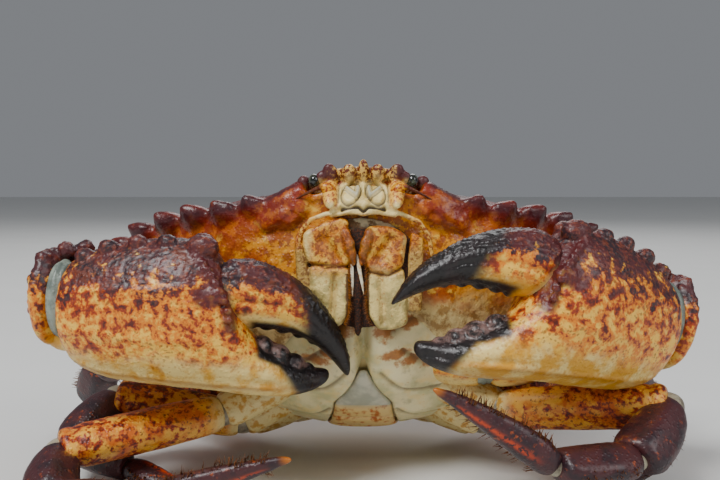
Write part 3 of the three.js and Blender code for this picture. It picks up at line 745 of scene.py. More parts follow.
for side, word in sides:
    plates = []
    for kind, thick, round_off in (("lower", 3.4, 1.1), ("upper", 3.9, 1.3), ("strip", 2.6, 0.8)):
        plate = plate_from(door_outlines[side][kind], thick, round_off, side)
        form = points_of(plate)
        form[:, 2] -= 1.8
        set_points(plate, form)
        plates.append(plate)
    inner = 3.2 if side < 0 else 0.4
    plates.append(ball((2.4, 2.0, 1.0), (side * (inner + 8.8), 6.6, -0.6)))
    palp_line = ((inner + 0.9, 22.6, 1.5, 1.3), (inner + 0.1, 20.6, 1.9, 1.35), (inner - 0.5, 18.6, 1.8, 1.1),
                 (inner - 0.8, 16.9, 1.4, 0.7))
    for x, y, z, r in palp_line:
        plates.append(ball((r, r * 1.7, r), (side * x, y, z)))
    door = skin(join(plates), 0.27, rounds=4)
    form = points_of(door)
    outer = form[:, 2] > 0
    # The plates' own ridges and furrows.
    furrow = from_line(
        form[:, :2], ((side * (inner + 4.4), 2.5), (side * (inner + 4.0), 8), (side * (inner + 3.6), 13.4))
    )
    form[:, 2] -= (1.2 if side < 0 else 0.6) * bell(furrow, 0.7) * outer
    hollow = from_line(form[:, :2], ((side * (inner + 3.4), 17.6), (side * (inner + 6.0), 21.8)))
    form[:, 2] -= 1.3 * bell(hollow, 1.5) * outer
    split = from_line(form[:, :2], [(side * x, y) for x, y in door_outlines[side]["upper"] if y < 17.5][:4])
    form[:, 2] -= 0.35 * bell(split, 0.5) * outer
    if side < 0:
        # Room for the finger that is folded across this door.
        form = dent(form, (-12.6, 5.2, 0.4), (6.0, 5.4, 7.0), (0, 0, -2.1))
    set_points(door, form)
    door = pitted(door, 0.9, 0.16)
    form = points_of(door)
    strip_edge, slant = (12.2, 0.2) if side < 0 else (10.3, 0)
    across = form[:, 0] * side
    on_strip = smooth(across - slant * np.clip(form[:, 1] - 14, 0, 9), strip_edge, strip_edge + 0.8)
    on_palp = np.min([np.linalg.norm((form - np.array((side * x, y, z))) / (1, 1.45, 1), axis=1) - r
                      for x, y, z, r in palp_line], axis=0)
    traits(
        door,
        rise=form[:, 1] / door_length,
        out=across - inner,
        furry=bell(across - inner, 1.3) * (form[:, 1] < 14),
        strip=on_strip,
        palp=1 - smooth(on_palp, 0.05, 0.5),
        # painted shade along the split between the lower and upper plates
        seam=bell(split, 0.35),
        # painted shade in each plate's furrow and hollow
        sunk=np.maximum(0.55 * bell(furrow, 1.1), bell(hollow, 1.6)),
    )
    # Short hairs fringe the inner edges of the plates.
    draw = np.random.default_rng(40 + side)
    spread = draw.uniform(2, 25, hairs_on_door)
    edge = (
        np.interp(spread, (2, 4.5, 9, 15, 18, 22, 25), (4.2, 3.2, 3.0, 3.2, 2.9, 3.9, 3.2))
        - (0 if side < 0 else 2.6)
    )
    depths = draw.uniform(0.2, 1.7, hairs_on_door)
    roots = [(side * (x + 0.5), y, z) for x, y, z in zip(edge, spread, depths)]
    hairs = bristles(roots, [(-side * 0.8, -0.4, 1.0)] * hairs_on_door, 1.5, 0.1, 50 + side)
    door = join([door, *hairs])
    set_in_place(door, "mouthpart_" + word, body_place @ door_place)
    door_cores[word] = door

mouth = Finish("mouthparts, orange above and cream below")
rise = mouth.trait("rise")
out = mouth.trait("out")
blot = mouth.cloud(3.2, 4, 0.6)
grit = mouth.cloud(0.9, 3, 0.6)
orange = mouth.blend((190, 122, 44), (224, 182, 108), blot, 0.44, 0.66)
orange = mouth.blend(orange, (118, 62, 24), grit + (0.5 - blot) * 0.5, 0.46, 0.6, 0.85)
cream = mouth.blend((226, 206, 150), (178, 164, 118), blot, 0.4, 0.6)
cream = mouth.blend(cream, (150, 92, 44), mouth.cloud(0.7, 2), 0.6, 0.7, 0.6)
upper = mouth.step(rise + (blot - 0.5) * 0.16, 0.42, 0.56)
door_tone = mouth.mix(cream, orange, upper)
door_tone = mouth.mix(
    door_tone, (232, 210, 152), mouth.step(out + (blot - 0.5) * 4, 8.2, 10.4) * upper * 0.8
)
strip_tone = mouth.blend((178, 148, 98), (122, 88, 54), grit, 0.46, 0.62)
strip_tone = mouth.blend(strip_tone, orange, rise, 0.62, 0.76)
door_tone = mouth.mix(door_tone, strip_tone, mouth.trait("strip"))
brown = mouth.blend((104, 54, 24), (180, 110, 50), grit, 0.46, 0.64)
door_tone = mouth.mix(door_tone, brown, mouth.trait("palp") * 0.85)
door_tone = mouth.blend(door_tone, (74, 34, 16), mouth.trait("furry") + (grit - 0.5) * 0.8, 0.4, 0.7, 0.85)
# Painted shade in the furrow and hollow of each plate.
door_tone = mouth.mix(door_tone, (132, 82, 38), mouth.trait("sunk") * mouth.step(grit, 0.3, 0.6) * 0.6)
# Painted shade in the split between the lower and upper plates.
door_tone = mouth.mix(door_tone, (86, 40, 22), mouth.trait("seam") * 0.8)
door_tone = mouth.mix(door_tone, mouth.mix((92, 46, 22), (168, 112, 58), blot), mouth.trait("hair"))
mouth.surface(
    Base_Color=door_tone,
    Roughness=0.36 + grit * 0.2,
    Coat_Weight=0.12,
    Coat_Roughness=0.2,
    Normal=mouth.relief(grit, 0.26, mouth.relief(mouth.cloud(0.45, 2), 0.1)),
)
for word, door in door_cores.items():
    dress(door, mouth, "mouth", "maxilliped_" + word)

# The gap between the doors, felted with short hair; its dark colour is partly the mouth's own dark skin and
# partly painted shade.
gap = join([
    ball((1.6, 7.4, 1.3), (-1.5, 10.6, -0.4), segments=24, rings=16),
    ball((15.2, 13.2, 1.3), (-0.6, 14.2, -1.1), segments=40, rings=24),
    ball((1.1, 5.0, 1.1), (-1.3, 4.0, -0.5), segments=24, rings=16),
])
gap = skin(gap, 0.3, rounds=2)
gap = pitted(gap, 0.5, 0.35)
trait(gap, "rise", points_of(gap)[:, 1] / door_length)
set_in_place(gap, "mouth_gap", body_place @ door_place)
gap_felt_and_shade = Finish("dark felt and painted shade of the mouth gap")
felt_grain = gap_felt_and_shade.cloud(0.4, 3)
# Dark below, partly the mouth's dark skin and partly painted shade in the gap; cream grey folds at the top.
gap_felt_and_shade.surface(
    Base_Color=gap_felt_and_shade.blend(
        gap_felt_and_shade.blend((30, 18, 12), (92, 50, 26), felt_grain, 0.45, 0.7),
        gap_felt_and_shade.blend((206, 196, 168), (120, 96, 72), gap_felt_and_shade.cloud(2.2, 3), 0.45, 0.6),
        gap_felt_and_shade.trait("rise"),
        0.84,
        0.92,
    ),
    Roughness=0.8,
    Normal=gap_felt_and_shade.relief(felt_grain, 0.2),
)
dress(gap, gap_felt_and_shade, "mouth", "maxilliped_left")

# Two ivory points of the inner mouthparts show in the gap.
ivory = Finish("ivory point")
ivory.surface(
    Base_Color=ivory.blend((244, 236, 214), (214, 180, 130), ivory.cloud(1.4, 2), 0.5, 0.7),
    Roughness=0.2,
    Coat_Weight=0.4,
    Coat_Roughness=0.1,
)
for word, line in (
    ("right", ((-2.9, 17.2, 0.6), (-2.7, 14.4, 1.0), (-2.6, 11.6, 1.0), (-2.6, 8.8, 0.5))),
    ("left", ((-1.5, 18.2, 0.8), (-0.9, 14.8, 1.3), (-0.3, 11.8, 1.2), (0.1, 9.2, 0.7))),
):
    point = []
    for k in range(25):
        along = k / 24 * 3
        start = min(int(along), 2)
        at = Vector(line[start]).lerp(Vector(line[start + 1]), along - start)
        r = float(np.interp(along, (0, 0.8, 2, 3), (0.3, 0.5, 0.38, 0.15)))
        point.append(ball((r, r * 1.6, r), at, segments=12, rings=8))
    point = skin(join(point), 0.12, rounds=3)
    set_in_place(point, "mouth_point_" + word, body_place @ door_place)
    dress(point, ivory, "mouth", "maxilliped_" + word)


# Brow and mouth frame
# The front of the shell between the eyes: blunt teeth over the two pits where the small feelers fold away.
# A rough pillar stands on each side, and below them are the lip and the pale arch that frames the mouth.
# All of it is grown in one with the shell and lit pale where the shell is thin.
def string_of(points, size):
    """A row of balls along a line of points, to be made one with what they touch."""
    beads = []
    for start, end in zip(points[:-1], points[1:]):
        start, end = Vector(start), Vector(end)
        steps = max(1, round((end - start).length / (size * 0.9)))
        beads += [ball((size,) * 3, start.lerp(end, k / steps), segments=12, rings=8) for k in range(steps)]
    return beads + [ball((size,) * 3, points[-1], segments=12, rings=8)]


lean = math.radians(-14)
brow = [
    ball((9.4, 2.2, 5.6), (0, -42.6, -5.4), (lean, 0, 0), segments=40, rings=24),
    ball((10.2, 4.0, 1.7), (0, -42.6, 0.3), (0.12, 0, 0), segments=40, rings=20),
    ball((0.5, 1.6, 3.2), (0, -43.6, -5.2), (lean, 0, 0)),
    ball((1.3, 3.0, 1.25), (0, -46.2, -0.6), (-0.42, 0, 0)),
]
for side in (-1, 1):
    brow += [
        ball((1.75, 2.6, 1.5), (side * 3.4, -45.5, -0.9), (-0.3, 0, 0)),
        ball((1.9, 2.9, 1.5), (side * 7.9, -44.6, -0.5), (-0.5, side * 0.3, side * 0.1)),
        ball((2.2, 2.4, 1.5), (side * 9.6, -43.4, -1.0), (-0.3, side * 0.5, 0)),
        ball((1.9, 1.8, 5.8), (side * 7.9, -43.6, -5.2), (lean, 0, 0), segments=28, rings=20),
        ball((1.7, 2.0, 1.6), (side * 14.4, -41.4, -0.6), (-0.4, 0, 0)),
    ]
    brow += string_of([(0, -43.3, -11.3), (side * 2.6, -43.1, -10.5), (side * 7.4, -42.2, -10.9)], 0.62)
    brow += string_of([(0, -43.7, -9.1), (side * 4, -43.5, -8.9), (side * 7.4, -43.0, -9.6)], 0.7)
arch = [
    (-15.3, 20.6, 0.2), (-14.6, 24.2, 0.5), (-12.4, 26.8, 0.8), (-8.6, 28.2, 0.9), (0, 28.9, 0.9),
    (8.8, 28.2, 0.9), (13.2, 26.2, 0.7), (15.6, 22.8, 0.4), (16.2, 18.6, 0.2),
]
brow += string_of([door_place @ Vector(at) for at in arch], 0.62)
brow = skin(join(brow), 0.27, rounds=4)
form = points_of(brow)
folded = np.zeros(len(form))
# This mask is painted shade: it darkens the rims of the small feelers' pits, the folds beside them, the
# grooves beside the pillars and the slit.
dark = np.zeros(len(form))
for side in (-1, 1):
    lean_out = side * 0.16 * (form[:, 2] + 5.9)
    pit = np.hypot((form[:, 0] - side * 2.9 + lean_out) / 2.3, (form[:, 2] + 5.9) / 3.3)
    front = form[:, 1] < -42.0
    form[:, 1] += front * (1.1 * bell(pit - 1, 0.15) + 0.8 * (pit < 1) * (1 - pit**2) * 0.6)
    dark = np.maximum(dark, 0.72 * bell(pit - 1.0, 0.12))
    tuck = from_line(form[:, [0, 2]], ((side * 1.1, -3.4), (side * 1.5, -7.2), (side * 4.3, -4.0)))
    form[:, 1] -= front * 0.9 * bell(tuck, 0.5) * (pit < 1.05)
    folded = np.maximum(folded, bell(tuck, 0.5) * (pit < 1.05))
    dark = np.maximum(dark, 0.62 * bell(tuck - 0.8, 0.22) * (pit < 0.95))
    groove = from_line(form[:, [0, 2]], ((side * 5.8, -0.5), (side * 5.9, -8.6)))
    form[:, 1] += front * 0.5 * bell(groove, 0.35)
    dark = np.maximum(dark, 0.6 * bell(groove, 0.25) * (form[:, 2] < -1))
slit = from_line(form[:, [0, 2]], ((-5.0, -9.9), (-1.2, -10.0), (0, -10.8), (1.2, -10.0), (5.0, -9.9)))
form[:, 1] += 1.3 * bell(slit, 0.42) * (form[:, 1] < -42)
dark = np.maximum(dark, bell(slit, 0.42))
set_points(brow, form)
brow = pitted(brow, 0.7, 0.12)
form = points_of(brow)
tooth_top = (
    smooth(form[:, 2], -3.0, -1.6)
    * smooth(-form[:, 1] + 0.5 * (np.abs(form[:, 0]) > 12) * 8, 42, 44.5)
)
pillar = (1 - smooth(np.abs(np.abs(form[:, 0]) - 7.9), 1.4, 2.2)) * smooth(form[:, 2], -10.5, -9)
traits(
    brow, dark=dark, folded=folded, tooth=tooth_top, pillar=pillar, aside=np.abs(form[:, 0]), up=form[:, 2]
)
set_in_place(brow, "brow", body_place)

bony = Finish("brow, cream with rough orange pillars")
aside = bony.trait("aside")
grit = bony.cloud(0.8, 3, 0.6)
blot = bony.cloud(2.4, 3)
cream = bony.blend((236, 218, 166), (196, 172, 118), blot, 0.44, 0.64)
rough = bony.blend((236, 186, 112), (150, 70, 32), grit, 0.46, 0.6)
brow_tone = bony.mix(cream, rough, bony.trait("pillar") * 0.9)
brow_tone = bony.blend(brow_tone, rough, aside, 9.5, 12, 0.6)
brow_tone = bony.mix(brow_tone, (184, 186, 172), bony.trait("folded") * 0.8)
tooth_tone = bony.blend((222, 184, 120), (98, 46, 30), grit + blot * 0.5, 0.66, 0.8)
tooth_tone = bony.blend(tooth_tone, (74, 34, 34), aside + (grit - 0.5) * 5, 5.6, 8.2)
arch_tone = bony.blend((214, 172, 108), (134, 76, 38), grit, 0.44, 0.58)
brow_tone = bony.blend(brow_tone, arch_tone, bony.trait("up") * -1.0, 10.6, 12.4)
brow_tone = bony.mix(brow_tone, tooth_tone, bony.trait("tooth"))
# Painted shade in the pits, folds, grooves and slit of the brow.
brow_tone = bony.blend(brow_tone, (44, 30, 22), bony.trait("dark"), 0.08, 0.85, 0.95)
bony.surface(
    Base_Color=brow_tone,
    Roughness=0.34 + grit * 0.2,
    Coat_Weight=0.15,
    Coat_Roughness=0.2,
    Normal=bony.relief(grit, 0.12),
)
dress(brow, bony, "shell", "carapace")


# Eyes
# Each eye is a short stalk of shell with a dark glossy cap of fine facets, and it sits in a round socket.
eyeball = Finish("eye, black and wet")
eyeball.surface(
    Base_Color=eyeball.mix(
        eyeball.blend((20, 21, 18), (74, 78, 62), eyeball.cloud(1.2, 2), 0.48, 0.66),
        eyeball.blend((190, 178, 150), (110, 66, 40), eyeball.cloud(0.7, 3), 0.45, 0.6),
        eyeball.trait("stalk"),
    ),
    Roughness=0.16,
    Coat_Weight=0.6,
    Coat_Roughness=0.05,
    Normal=eyeball.relief(eyeball.cells(0.16), 0.02),
)
for side, word in sides:
    stalk = join([
        ball((1.5, 3.6, 1.5), (side * 10.6, -40.6, -1.9), segments=32, rings=20),
        ball((1.5, 2.1, 1.85), (side * 11.8, -43.2, -1.6), segments=32, rings=20),
        ball((0.8, 1.2, 0.7), (side * 11.6, -42.6, 0.0)),
    ])
    stalk = skin(stalk, 0.22, rounds=3)
    form = points_of(stalk)
    trait(stalk, "stalk", 1 - smooth(-form[:, 1] - 0.8 * (form[:, 2] < -0.8), 41.4, 42.1))
    set_in_place(stalk, "eyeball_" + word, body_place)
    dress(stalk, eyeball, "eye", "eye_" + word)


# Feelers
# Each feeler is a stout fixed base of three rough joints with a short thin ringed whip at its end.
# The base is set in the gap between the eye socket and the pit of the small feeler.
feeler_line = (
    (7.9, -42.6, -6.0, 1.9), (8.0, -44.2, -5.4, 1.75), (8.6, -45.2, -5.0, 1.35), (9.6, -45.3, -4.8, 0.95),
    (10.8, -44.7, -4.8, 0.6), (12.4, -43.9, -5.0, 0.42), (14.2, -42.9, -5.3, 0.32), (15.8, -41.9, -5.6, 0.24),
    (17.0, -41.0, -5.8, 0.16),
)
whip = Finish("feeler, orange brown and ringed")
whip.surface(
    Base_Color=whip.mix(
        whip.blend((214, 158, 84), (140, 66, 34), whip.cloud(0.8, 3), 0.44, 0.6),
        (74, 34, 28),
        whip.trait("thin") * 0.92,
    ),
    Roughness=0.42,
    Normal=whip.relief(whip.cloud(0.5, 2), 0.06),
)
for side, word in sides:
    beads = []
    for (x0, y0, z0, r0), (x1, y1, z1, r1) in zip(feeler_line[:-1], feeler_line[1:]):
        steps = max(2, round(math.dist((x0, y0, z0), (x1, y1, z1)) / (0.5 * r1 + 0.12)))
        for k in range(steps):
            t = k / steps
            r = (r0 + (r1 - r0) * t) * (1.06 if k % 2 else 0.98)
            at = (side * (x0 + (x1 - x0) * t), y0 + (y1 - y0) * t, z0 + (z1 - z0) * t)
            beads.append(ball((r, r, r), at, segments=16, rings=10))
    feeler = skin(join(beads), 0.14, rounds=3)
    form = points_of(feeler)
    trait(feeler, "thin", smooth(np.abs(form[:, 0]), 9.4, 10.6))
    set_in_place(feeler, "feeler_" + word, body_place)
    dress(feeler, whip, "feeler", "antenna_" + word)


# Walking legs
# Four pairs of jointed legs, each of five hard tubes: hip, long plate, wrist, shank and slim pointed foot.
# The tubes are shell, and soft grey skin closes each joint.
# The front pair is folded up before the body and the other three stand on the floor.
def drawn_out(rings, around=24):
    """A closed form drawn out along X through rings of distance along, lift, half height and half width."""
    bpy.ops.object.select_all(action="DESELECT")
    along, lift, high, wide = rings[0]
    bpy.ops.mesh.primitive_circle_add(
        vertices=around, radius=1, fill_type="NGON", location=(along, 0, lift), rotation=(0, math.pi / 2, 0)
    )
    form = bpy.context.object
    bpy.ops.object.transform_apply(location=True, rotation=True, scale=True)
    bpy.ops.object.mode_set(mode="EDIT")
    bpy.ops.mesh.select_all(action="SELECT")
    bpy.ops.transform.resize(value=(1, wide, high), center_override=(along, 0, lift))
    for (x0, z0, high0, wide0), (x1, z1, high1, wide1) in zip(rings[:-1], rings[1:]):
        bpy.ops.mesh.extrude_region_move(TRANSFORM_OT_translate={"value": (x1 - x0, 0, z1 - z0)})
        bpy.ops.transform.resize(value=(1, wide1 / wide0, high1 / high0), center_override=(x1, 0, z1))
    bpy.ops.mesh.select_all(action="SELECT")
    bpy.ops.mesh.normals_make_consistent(inside=False)
    bpy.ops.object.mode_set(mode="OBJECT")
    return form


# From the near joint to the far one: share of the length, bow, half height and half width, in stoutnesses.
plate_rings = {
    "coxa": (
        (0, 0, 0.7, 0.66), (0.06, 0, 0.88, 0.84), (0.35, 0, 1.0, 0.92), (0.7, 0, 0.94, 0.86),
        (0.94, 0, 0.92, 0.82), (1, 0, 0.74, 0.66),
    ),
    "merus": (
        (0, 0, 0.56, 0.48), (0.03, 0, 0.74, 0.64), (0.12, 0, 0.88, 0.73), (0.4, 0.05, 1.02, 0.77),
        (0.75, 0.05, 1.02, 0.77), (0.92, 0.02, 0.94, 0.75), (0.97, 0, 0.92, 0.74), (1, 0, 0.72, 0.58),
    ),
    "carpus": (
        (0, 0, 0.46, 0.4), (0.05, 0, 0.64, 0.54), (0.2, 0.06, 0.8, 0.64), (0.55, 0.12, 0.92, 0.72),
        (0.85, 0.04, 0.94, 0.74), (0.95, 0.02, 0.86, 0.7), (1, 0, 0.64, 0.54),
    ),
    "propodus": (
        (0, 0, 0.5, 0.4), (0.05, 0, 0.7, 0.54), (0.18, 0.03, 0.88, 0.63), (0.5, 0.03, 0.9, 0.63),
        (0.85, 0.02, 0.78, 0.57), (0.95, 0, 0.72, 0.54), (1, 0, 0.5, 0.42),
    ),
    "dactyl": (
        (0, 0, 0.34, 0.28), (0.04, 0, 0.48, 0.4), (0.14, 0.03, 0.58, 0.47), (0.3, 0.06, 0.54, 0.43),
        (0.5, 0.09, 0.45, 0.37), (0.72, 0.07, 0.31, 0.27), (0.88, 0.03, 0.2, 0.19),
        (0.96, -0.01, 0.13, 0.13), (1.0, -0.04, 0.05, 0.05),
    ),
}
# How many bristles fringe a plate, and how long they are.
fringes = {"carpus": (14, 1.3), "propodus": (56, 1.9), "dactyl": (120, 2.4)}
knuckles = {"merus": 0.58, "carpus": 0.47, "propodus": 0.42, "dactyl": 0.32}
plate_dusk = {"coxa": 0.0, "merus": 0.12, "carpus": 0.75, "propodus": 0.95, "dactyl": 1.0}
# Each leg's stoutness, then its joints from hip to tip on the left side and on the right.
legs = {
    "leg1": (
        6.9,
        (
            (17, -20.6, 26.4), (34.1, -27, 18.5), (72.6, -41.7, 22.8), (60.5, -55.3, 13.6),
            (41.3, -63.2, 14.6), (14.6, -68.2, 32.7),
        ),
        (
            (17, -20.6, 26.4), (35.7, -27, 17.5), (71.4, -44.4, 12.6), (69.5, -56.9, 5.4),
            (46.7, -64.7, 7.4), (15.3, -67.1, 17.5),
        ),
    ),
    "leg2": (
        6.7,
        (
            (18, -12.5, 19.8), (32, -15.5, 12.5), (67, -16.5, 20), (75, -28, 9.5), (60, -41, 5.6),
            (36, -53, 0),
        ),
        ((18, -12.5, 19.8), (32, -15.5, 12.5), (65, -16, 19), (73, -28, 9), (58, -33, 5.4), (34, -46, 0)),
    ),
    "leg3": (
        6.4, ((17.5, -3.2, 14.6), (31, -4, 9.6), (65, 9, 27), (79, 18, 19.5), (87, 28, 8), (82, 41, 0)),
        ((17.5, -3.2, 14.6), (31, -4, 9.6), (64, 10, 27), (78, 20, 19.5), (85.5, 31, 8), (80, 44, 0)),
    ),
    "leg4": (
        5.7, ((13, 6, 12), (25, 12, 8.4), (48, 35, 23), (58, 49, 17), (62, 64, 7.5), (55, 78, 0)),
        ((13, 6, 12), (25, 12, 8.4), (49, 34, 23), (60, 47.5, 17), (65, 62, 7.5), (59, 76.5, 0)),
    ),
}

plate_models = {}
for kind, rings in plate_rings.items():
    model = drawn_out(rings, around=20)
    finish_with(model, "SUBSURF", levels=2, render_levels=2)
    form = points_of(model)
    along = np.clip(form[:, 0], 0, 1)
    angle = np.arctan2(form[:, 2], form[:, 1])
    reach = np.hypot(form[:, 1], form[:, 2])
    if kind in ("carpus", "propodus", "dactyl"):
        ridges, deep = (3, 0.055) if kind == "dactyl" else (4, 0.05)
        flute = np.cos(ridges * angle + 0.4) * deep * smooth(along, 0.06, 0.2) * (1 - smooth(along, 0.85, 1))
        form[:, 1:] *= (1 + flute)[:, None]
    if kind == "merus":
        crest = bell(angle - math.pi / 2, 0.35) * (0.6 + 0.4 * np.cos(along * 88)) * 0.07
        form[:, 1:] *= (1 + crest * smooth(along, 0.08, 0.2))[:, None]
        form[:, 1:] *= (1 - 0.07 * bell(along - 0.9, 0.02))[:, None]
    set_points(model, form)
    pale_share = {"coxa": 1.0, "merus": 1 - smooth(along, 0.02, 0.14)}.get(kind, 0.0)
    stripe = bell(np.sin(angle) - 0.2, 0.2) * smooth(along, 0.1, 0.3) * (1 - smooth(along, 0.7, 0.9))
    plain = np.zeros(len(form))
    traits(
        model,
        along=along,
        dusk=plain + plate_dusk[kind],
        tip=smooth(along, 0.91, 0.99) if kind == "dactyl" else plain,
        upper=np.sin(angle) * smooth(reach, 0.02, 0.2),
        skin=plain,
        pale=plain + pale_share,
        stripe=stripe * (kind == "dactyl"),
    )
    model.name = "plate_" + kind
    plate_models[kind] = model
knuckle = ball((1, 1, 1), (0, 0, 0), segments=24, rings=16)
for name, level in (("along", 0), ("dusk", 0), ("tip", 0), ("upper", 0), ("skin", 1)):
    trait(knuckle, name, np.full(len(knuckle.data.vertices), float(level)))


def segment_frame(start, end, up):
    """A frame at `start` whose X runs to `end` and whose Z leans to `up`."""
    ahead = (end - start).normalized()
    across = up.cross(ahead).normalized()
    return Matrix.Translation(start) @ Matrix((ahead, across, ahead.cross(across))).transposed().to_4x4()


leg_pieces = []
for leg, (stout, on_left, on_right) in legs.items():
    for word, side, places in (("left", 1, on_left), ("right", -1, on_right)):
        joints = [Vector((side * x, y, z)) for x, y, z in places]
        reach = (joints[-1] - joints[0]).normalized()
        knee = joints[2] - joints[0]
        knee = (knee - reach * knee.dot(reach)).normalized()
        parts = []
        for kind, start, end in zip(plate_rings, joints[:-1], joints[1:]):
            size = stout * (0.8 if kind == "coxa" else 1)
            part = copy_of(plate_models[kind])
            place = segment_frame(start, end, knee)
            part.data.transform(place @ Matrix.Diagonal(((end - start).length, size, size, 1)))
            parts.append(part)
            if kind != "coxa":
                soft = copy_of(knuckle)
                r = stout * knuckles[kind]
                soft.data.transform(place @ Matrix.Diagonal((r, r * 0.86, r * 1.06, 1)))
                parts.append(soft)
            # Bristles fringe both edges of the shank and the foot.
            count, long_mm = fringes.get(kind, (0, 0))
            if count:
                draw = np.random.default_rng(count + len(parts))
                at = np.sort(draw.uniform(0.1, 0.86, count))
                stations, lifts, halves, _ = zip(*plate_rings[kind])
                lift, half = np.interp(at, stations, lifts), np.interp(at, stations, halves)
                edge = np.where(draw.random(count) < 0.7, 1, -1)
                reach_out = (lift + edge * half * 0.93) * size
                drift = draw.uniform(-0.16, 0.16, count) * size
                length = (end - start).length
                fringe = bristles(
                    list(zip(at * length, drift, reach_out)),
                    [(0.55, 0, e) for e in edge],
                    long_mm,
                    0.13,
                    count,
                )
                for hair in fringe:
                    hair.data.transform(place)
                parts += fringe
        limb = join(parts)
        limb.data.transform(Matrix.Translation(plan_shift))
        limb = pitted(limb, 2.2, 0.3)
        form = points_of(limb)
        form[:, 2] = np.maximum(form[:, 2], 0)
        set_points(limb, form)
        set_in_place(limb, leg + "_" + word)
        leg_pieces.append((limb, leg, word))
for model in (*plate_models.values(), knuckle):
    bpy.data.objects.remove(model)

crust = Finish("leg shell, orange to purple brown")
along = crust.trait("along")
dusk = crust.trait("dusk")
blot = crust.cloud(6, 4, 0.62)
grit = crust.cloud(1.0, 3, 0.6)
mottle = crust.cloud(2.1, 4, 0.62)
light = crust.blend((222, 172, 102), (190, 108, 46), blot, 0.4, 0.6)
red = crust.mix((98, 36, 18), (60, 24, 20), grit)
more = (along - 0.5) * 0.1 + crust.trait("upper") * 0.05
stain = crust.cloud(2.5, 3, 0.58, crust.wander(3.0, 2.0)) * 0.74 + grit * 0.26 + more
light = crust.blend(light, (156, 72, 30), stain, 0.46, 0.54)
light = crust.blend(light, red, stain, 0.53, 0.6)
light = crust.blend(light, red, grit + (blot - 0.5) * 0.5, 0.56, 0.64, 0.7)
creamy = crust.blend((222, 206, 160), (190, 150, 92), mottle, 0.48, 0.62)
light = crust.mix(light, creamy, crust.trait("pale"))
dark = crust.blend((62, 32, 34), (36, 21, 27), blot, 0.42, 0.62)
dark = crust.blend(dark, (150, 78, 38), mottle, 0.6, 0.7, 0.75)
dark = crust.mix(dark, (188, 84, 34), crust.trait("stripe") * crust.step(grit, 0.36, 0.5) * 0.85)
shade = crust.step(dusk + (blot - 0.5) * 0.9 + crust.trait("upper") * 0.12, 0.3, 0.62)
leg_tone = crust.mix(light, dark, shade)
leg_tone = crust.mix(leg_tone, (166, 104, 46), crust.trait("tip"))
soft_skin = crust.blend((164, 158, 140), (112, 104, 92), blot, 0.4, 0.6)
leg_tone = crust.mix(leg_tone, soft_skin, crust.trait("skin"))
leg_tone = crust.mix(leg_tone, crust.mix((52, 28, 20), (132, 82, 44), mottle), crust.trait("hair"))
crust.surface(
    Base_Color=leg_tone,
    Roughness=0.34 + grit * 0.2,
    Coat_Weight=0.12,
    Coat_Roughness=0.2,
    Normal=crust.relief(crust.step(crust.cells(0.9), 0.1, 0.5) * -1.0, 0.1),
)
for limb, leg, word in leg_pieces:
    dress(limb, crust, "leg", *[leg + "_" + word + "_" + kind for kind in plate_rings])


# Claws
# Two heavy arms, each of three plates and a broad hand whose lower finger is grown in one with it.
# The upper finger turns on two pegs in the hand's beaded collar, and both fingers carry blunt crushing teeth.
# It is the thickest shell of the animal, black and dense as horn at the biting edges.
hand_rings = (
    (2.6, -0.6, 7.4, 6.4), (3.4, -0.8, 10.2, 8.2), (5.0, -1.2, 12.3, 9.2), (8.5, -1.5, 14.3, 9.9),
    (14, -1.2, 15.9, 10.6), (23, -0.5, 17.0, 11.2), (32, -0.3, 17.4, 11.0), (38, -0.8, 16.9, 10.0),
    (41.5, -3.8, 14.2, 8.8), (44.5, -9.4, 9.1, 7.3), (48, -12.4, 6.4, 6.1), (52, -14.4, 4.9, 5.3),
    (56.5, -15.7, 3.9, 4.4), (60.5, -16.2, 3.1, 3.4), (64, -15.8, 2.1, 2.3), (66, -15.2, 1.2, 1.3),
)
finger_rings = (
    (37.5, 5.0, 3.8, 3.0), (39.5, 5.2, 5.6, 4.4), (42.3, 5.0, 7.2, 5.6), (46, 4.5, 7.9, 6.2),
    (50.5, 3.3, 7.8, 6.1), (55, 1.2, 7.2, 5.7), (59.5, -2.0, 6.5, 5.3), (63, -5.7, 6.1, 4.9),
    (66, -10, 5.4, 4.4), (67.9, -13.8, 4.6, 3.8), (68.9, -16.4, 2.8, 2.5),
)
hand_rim = ((3, -11.4), (14, -14.2), (30, -14.8), (44, -15.6), (60, -17.2))
hand_grains = 4200
finger_grains = 420
arm_grains = 500
hinge = Vector((39.5, 0, 5.6))
bend_start = 36
bend_span = 16


def normals_of(piece):
    flat = np.empty(len(piece.data.vertices) * 3)
    piece.data.vertex_normals.foreach_get("vector", flat)
    return flat.reshape(-1, 3)


def grained(piece, weight, count, size_mm, lift_mm, seed):
    """Raises round grains where `weight` is high, and tells how near each point is to the top of one."""
    draw = np.random.default_rng(seed)
    form = points_of(piece)
    odds = np.cumsum(np.maximum(weight, 0))
    chosen = np.searchsorted(odds / odds[-1], draw.random(count))
    tree = KDTree(count)
    for index, vertex in enumerate(chosen):
        tree.insert(form[vertex], index)
    tree.balance()
    sizes = size_mm * draw.uniform(0.6, 1.25, count)
    near = np.zeros(len(form))
    for index in np.nonzero(weight > 0.02)[0]:
        _, which, distance = tree.find(form[index])
        near[index] = max(0.0, 1 - (distance / sizes[which]) ** 2)
    set_points(piece, form + normals_of(piece) * (lift_mm * near * np.minimum(weight * 2, 1))[:, None])
    return near


def claw_traits(piece, **given):
    """The masks that the claw's colours read; one that isn't given is nought all over."""
    for name in ("high", "along", "black", "grain", "collar", "root", "skin"):
        trait(piece, name, given.get(name, np.zeros(len(piece.data.vertices))))


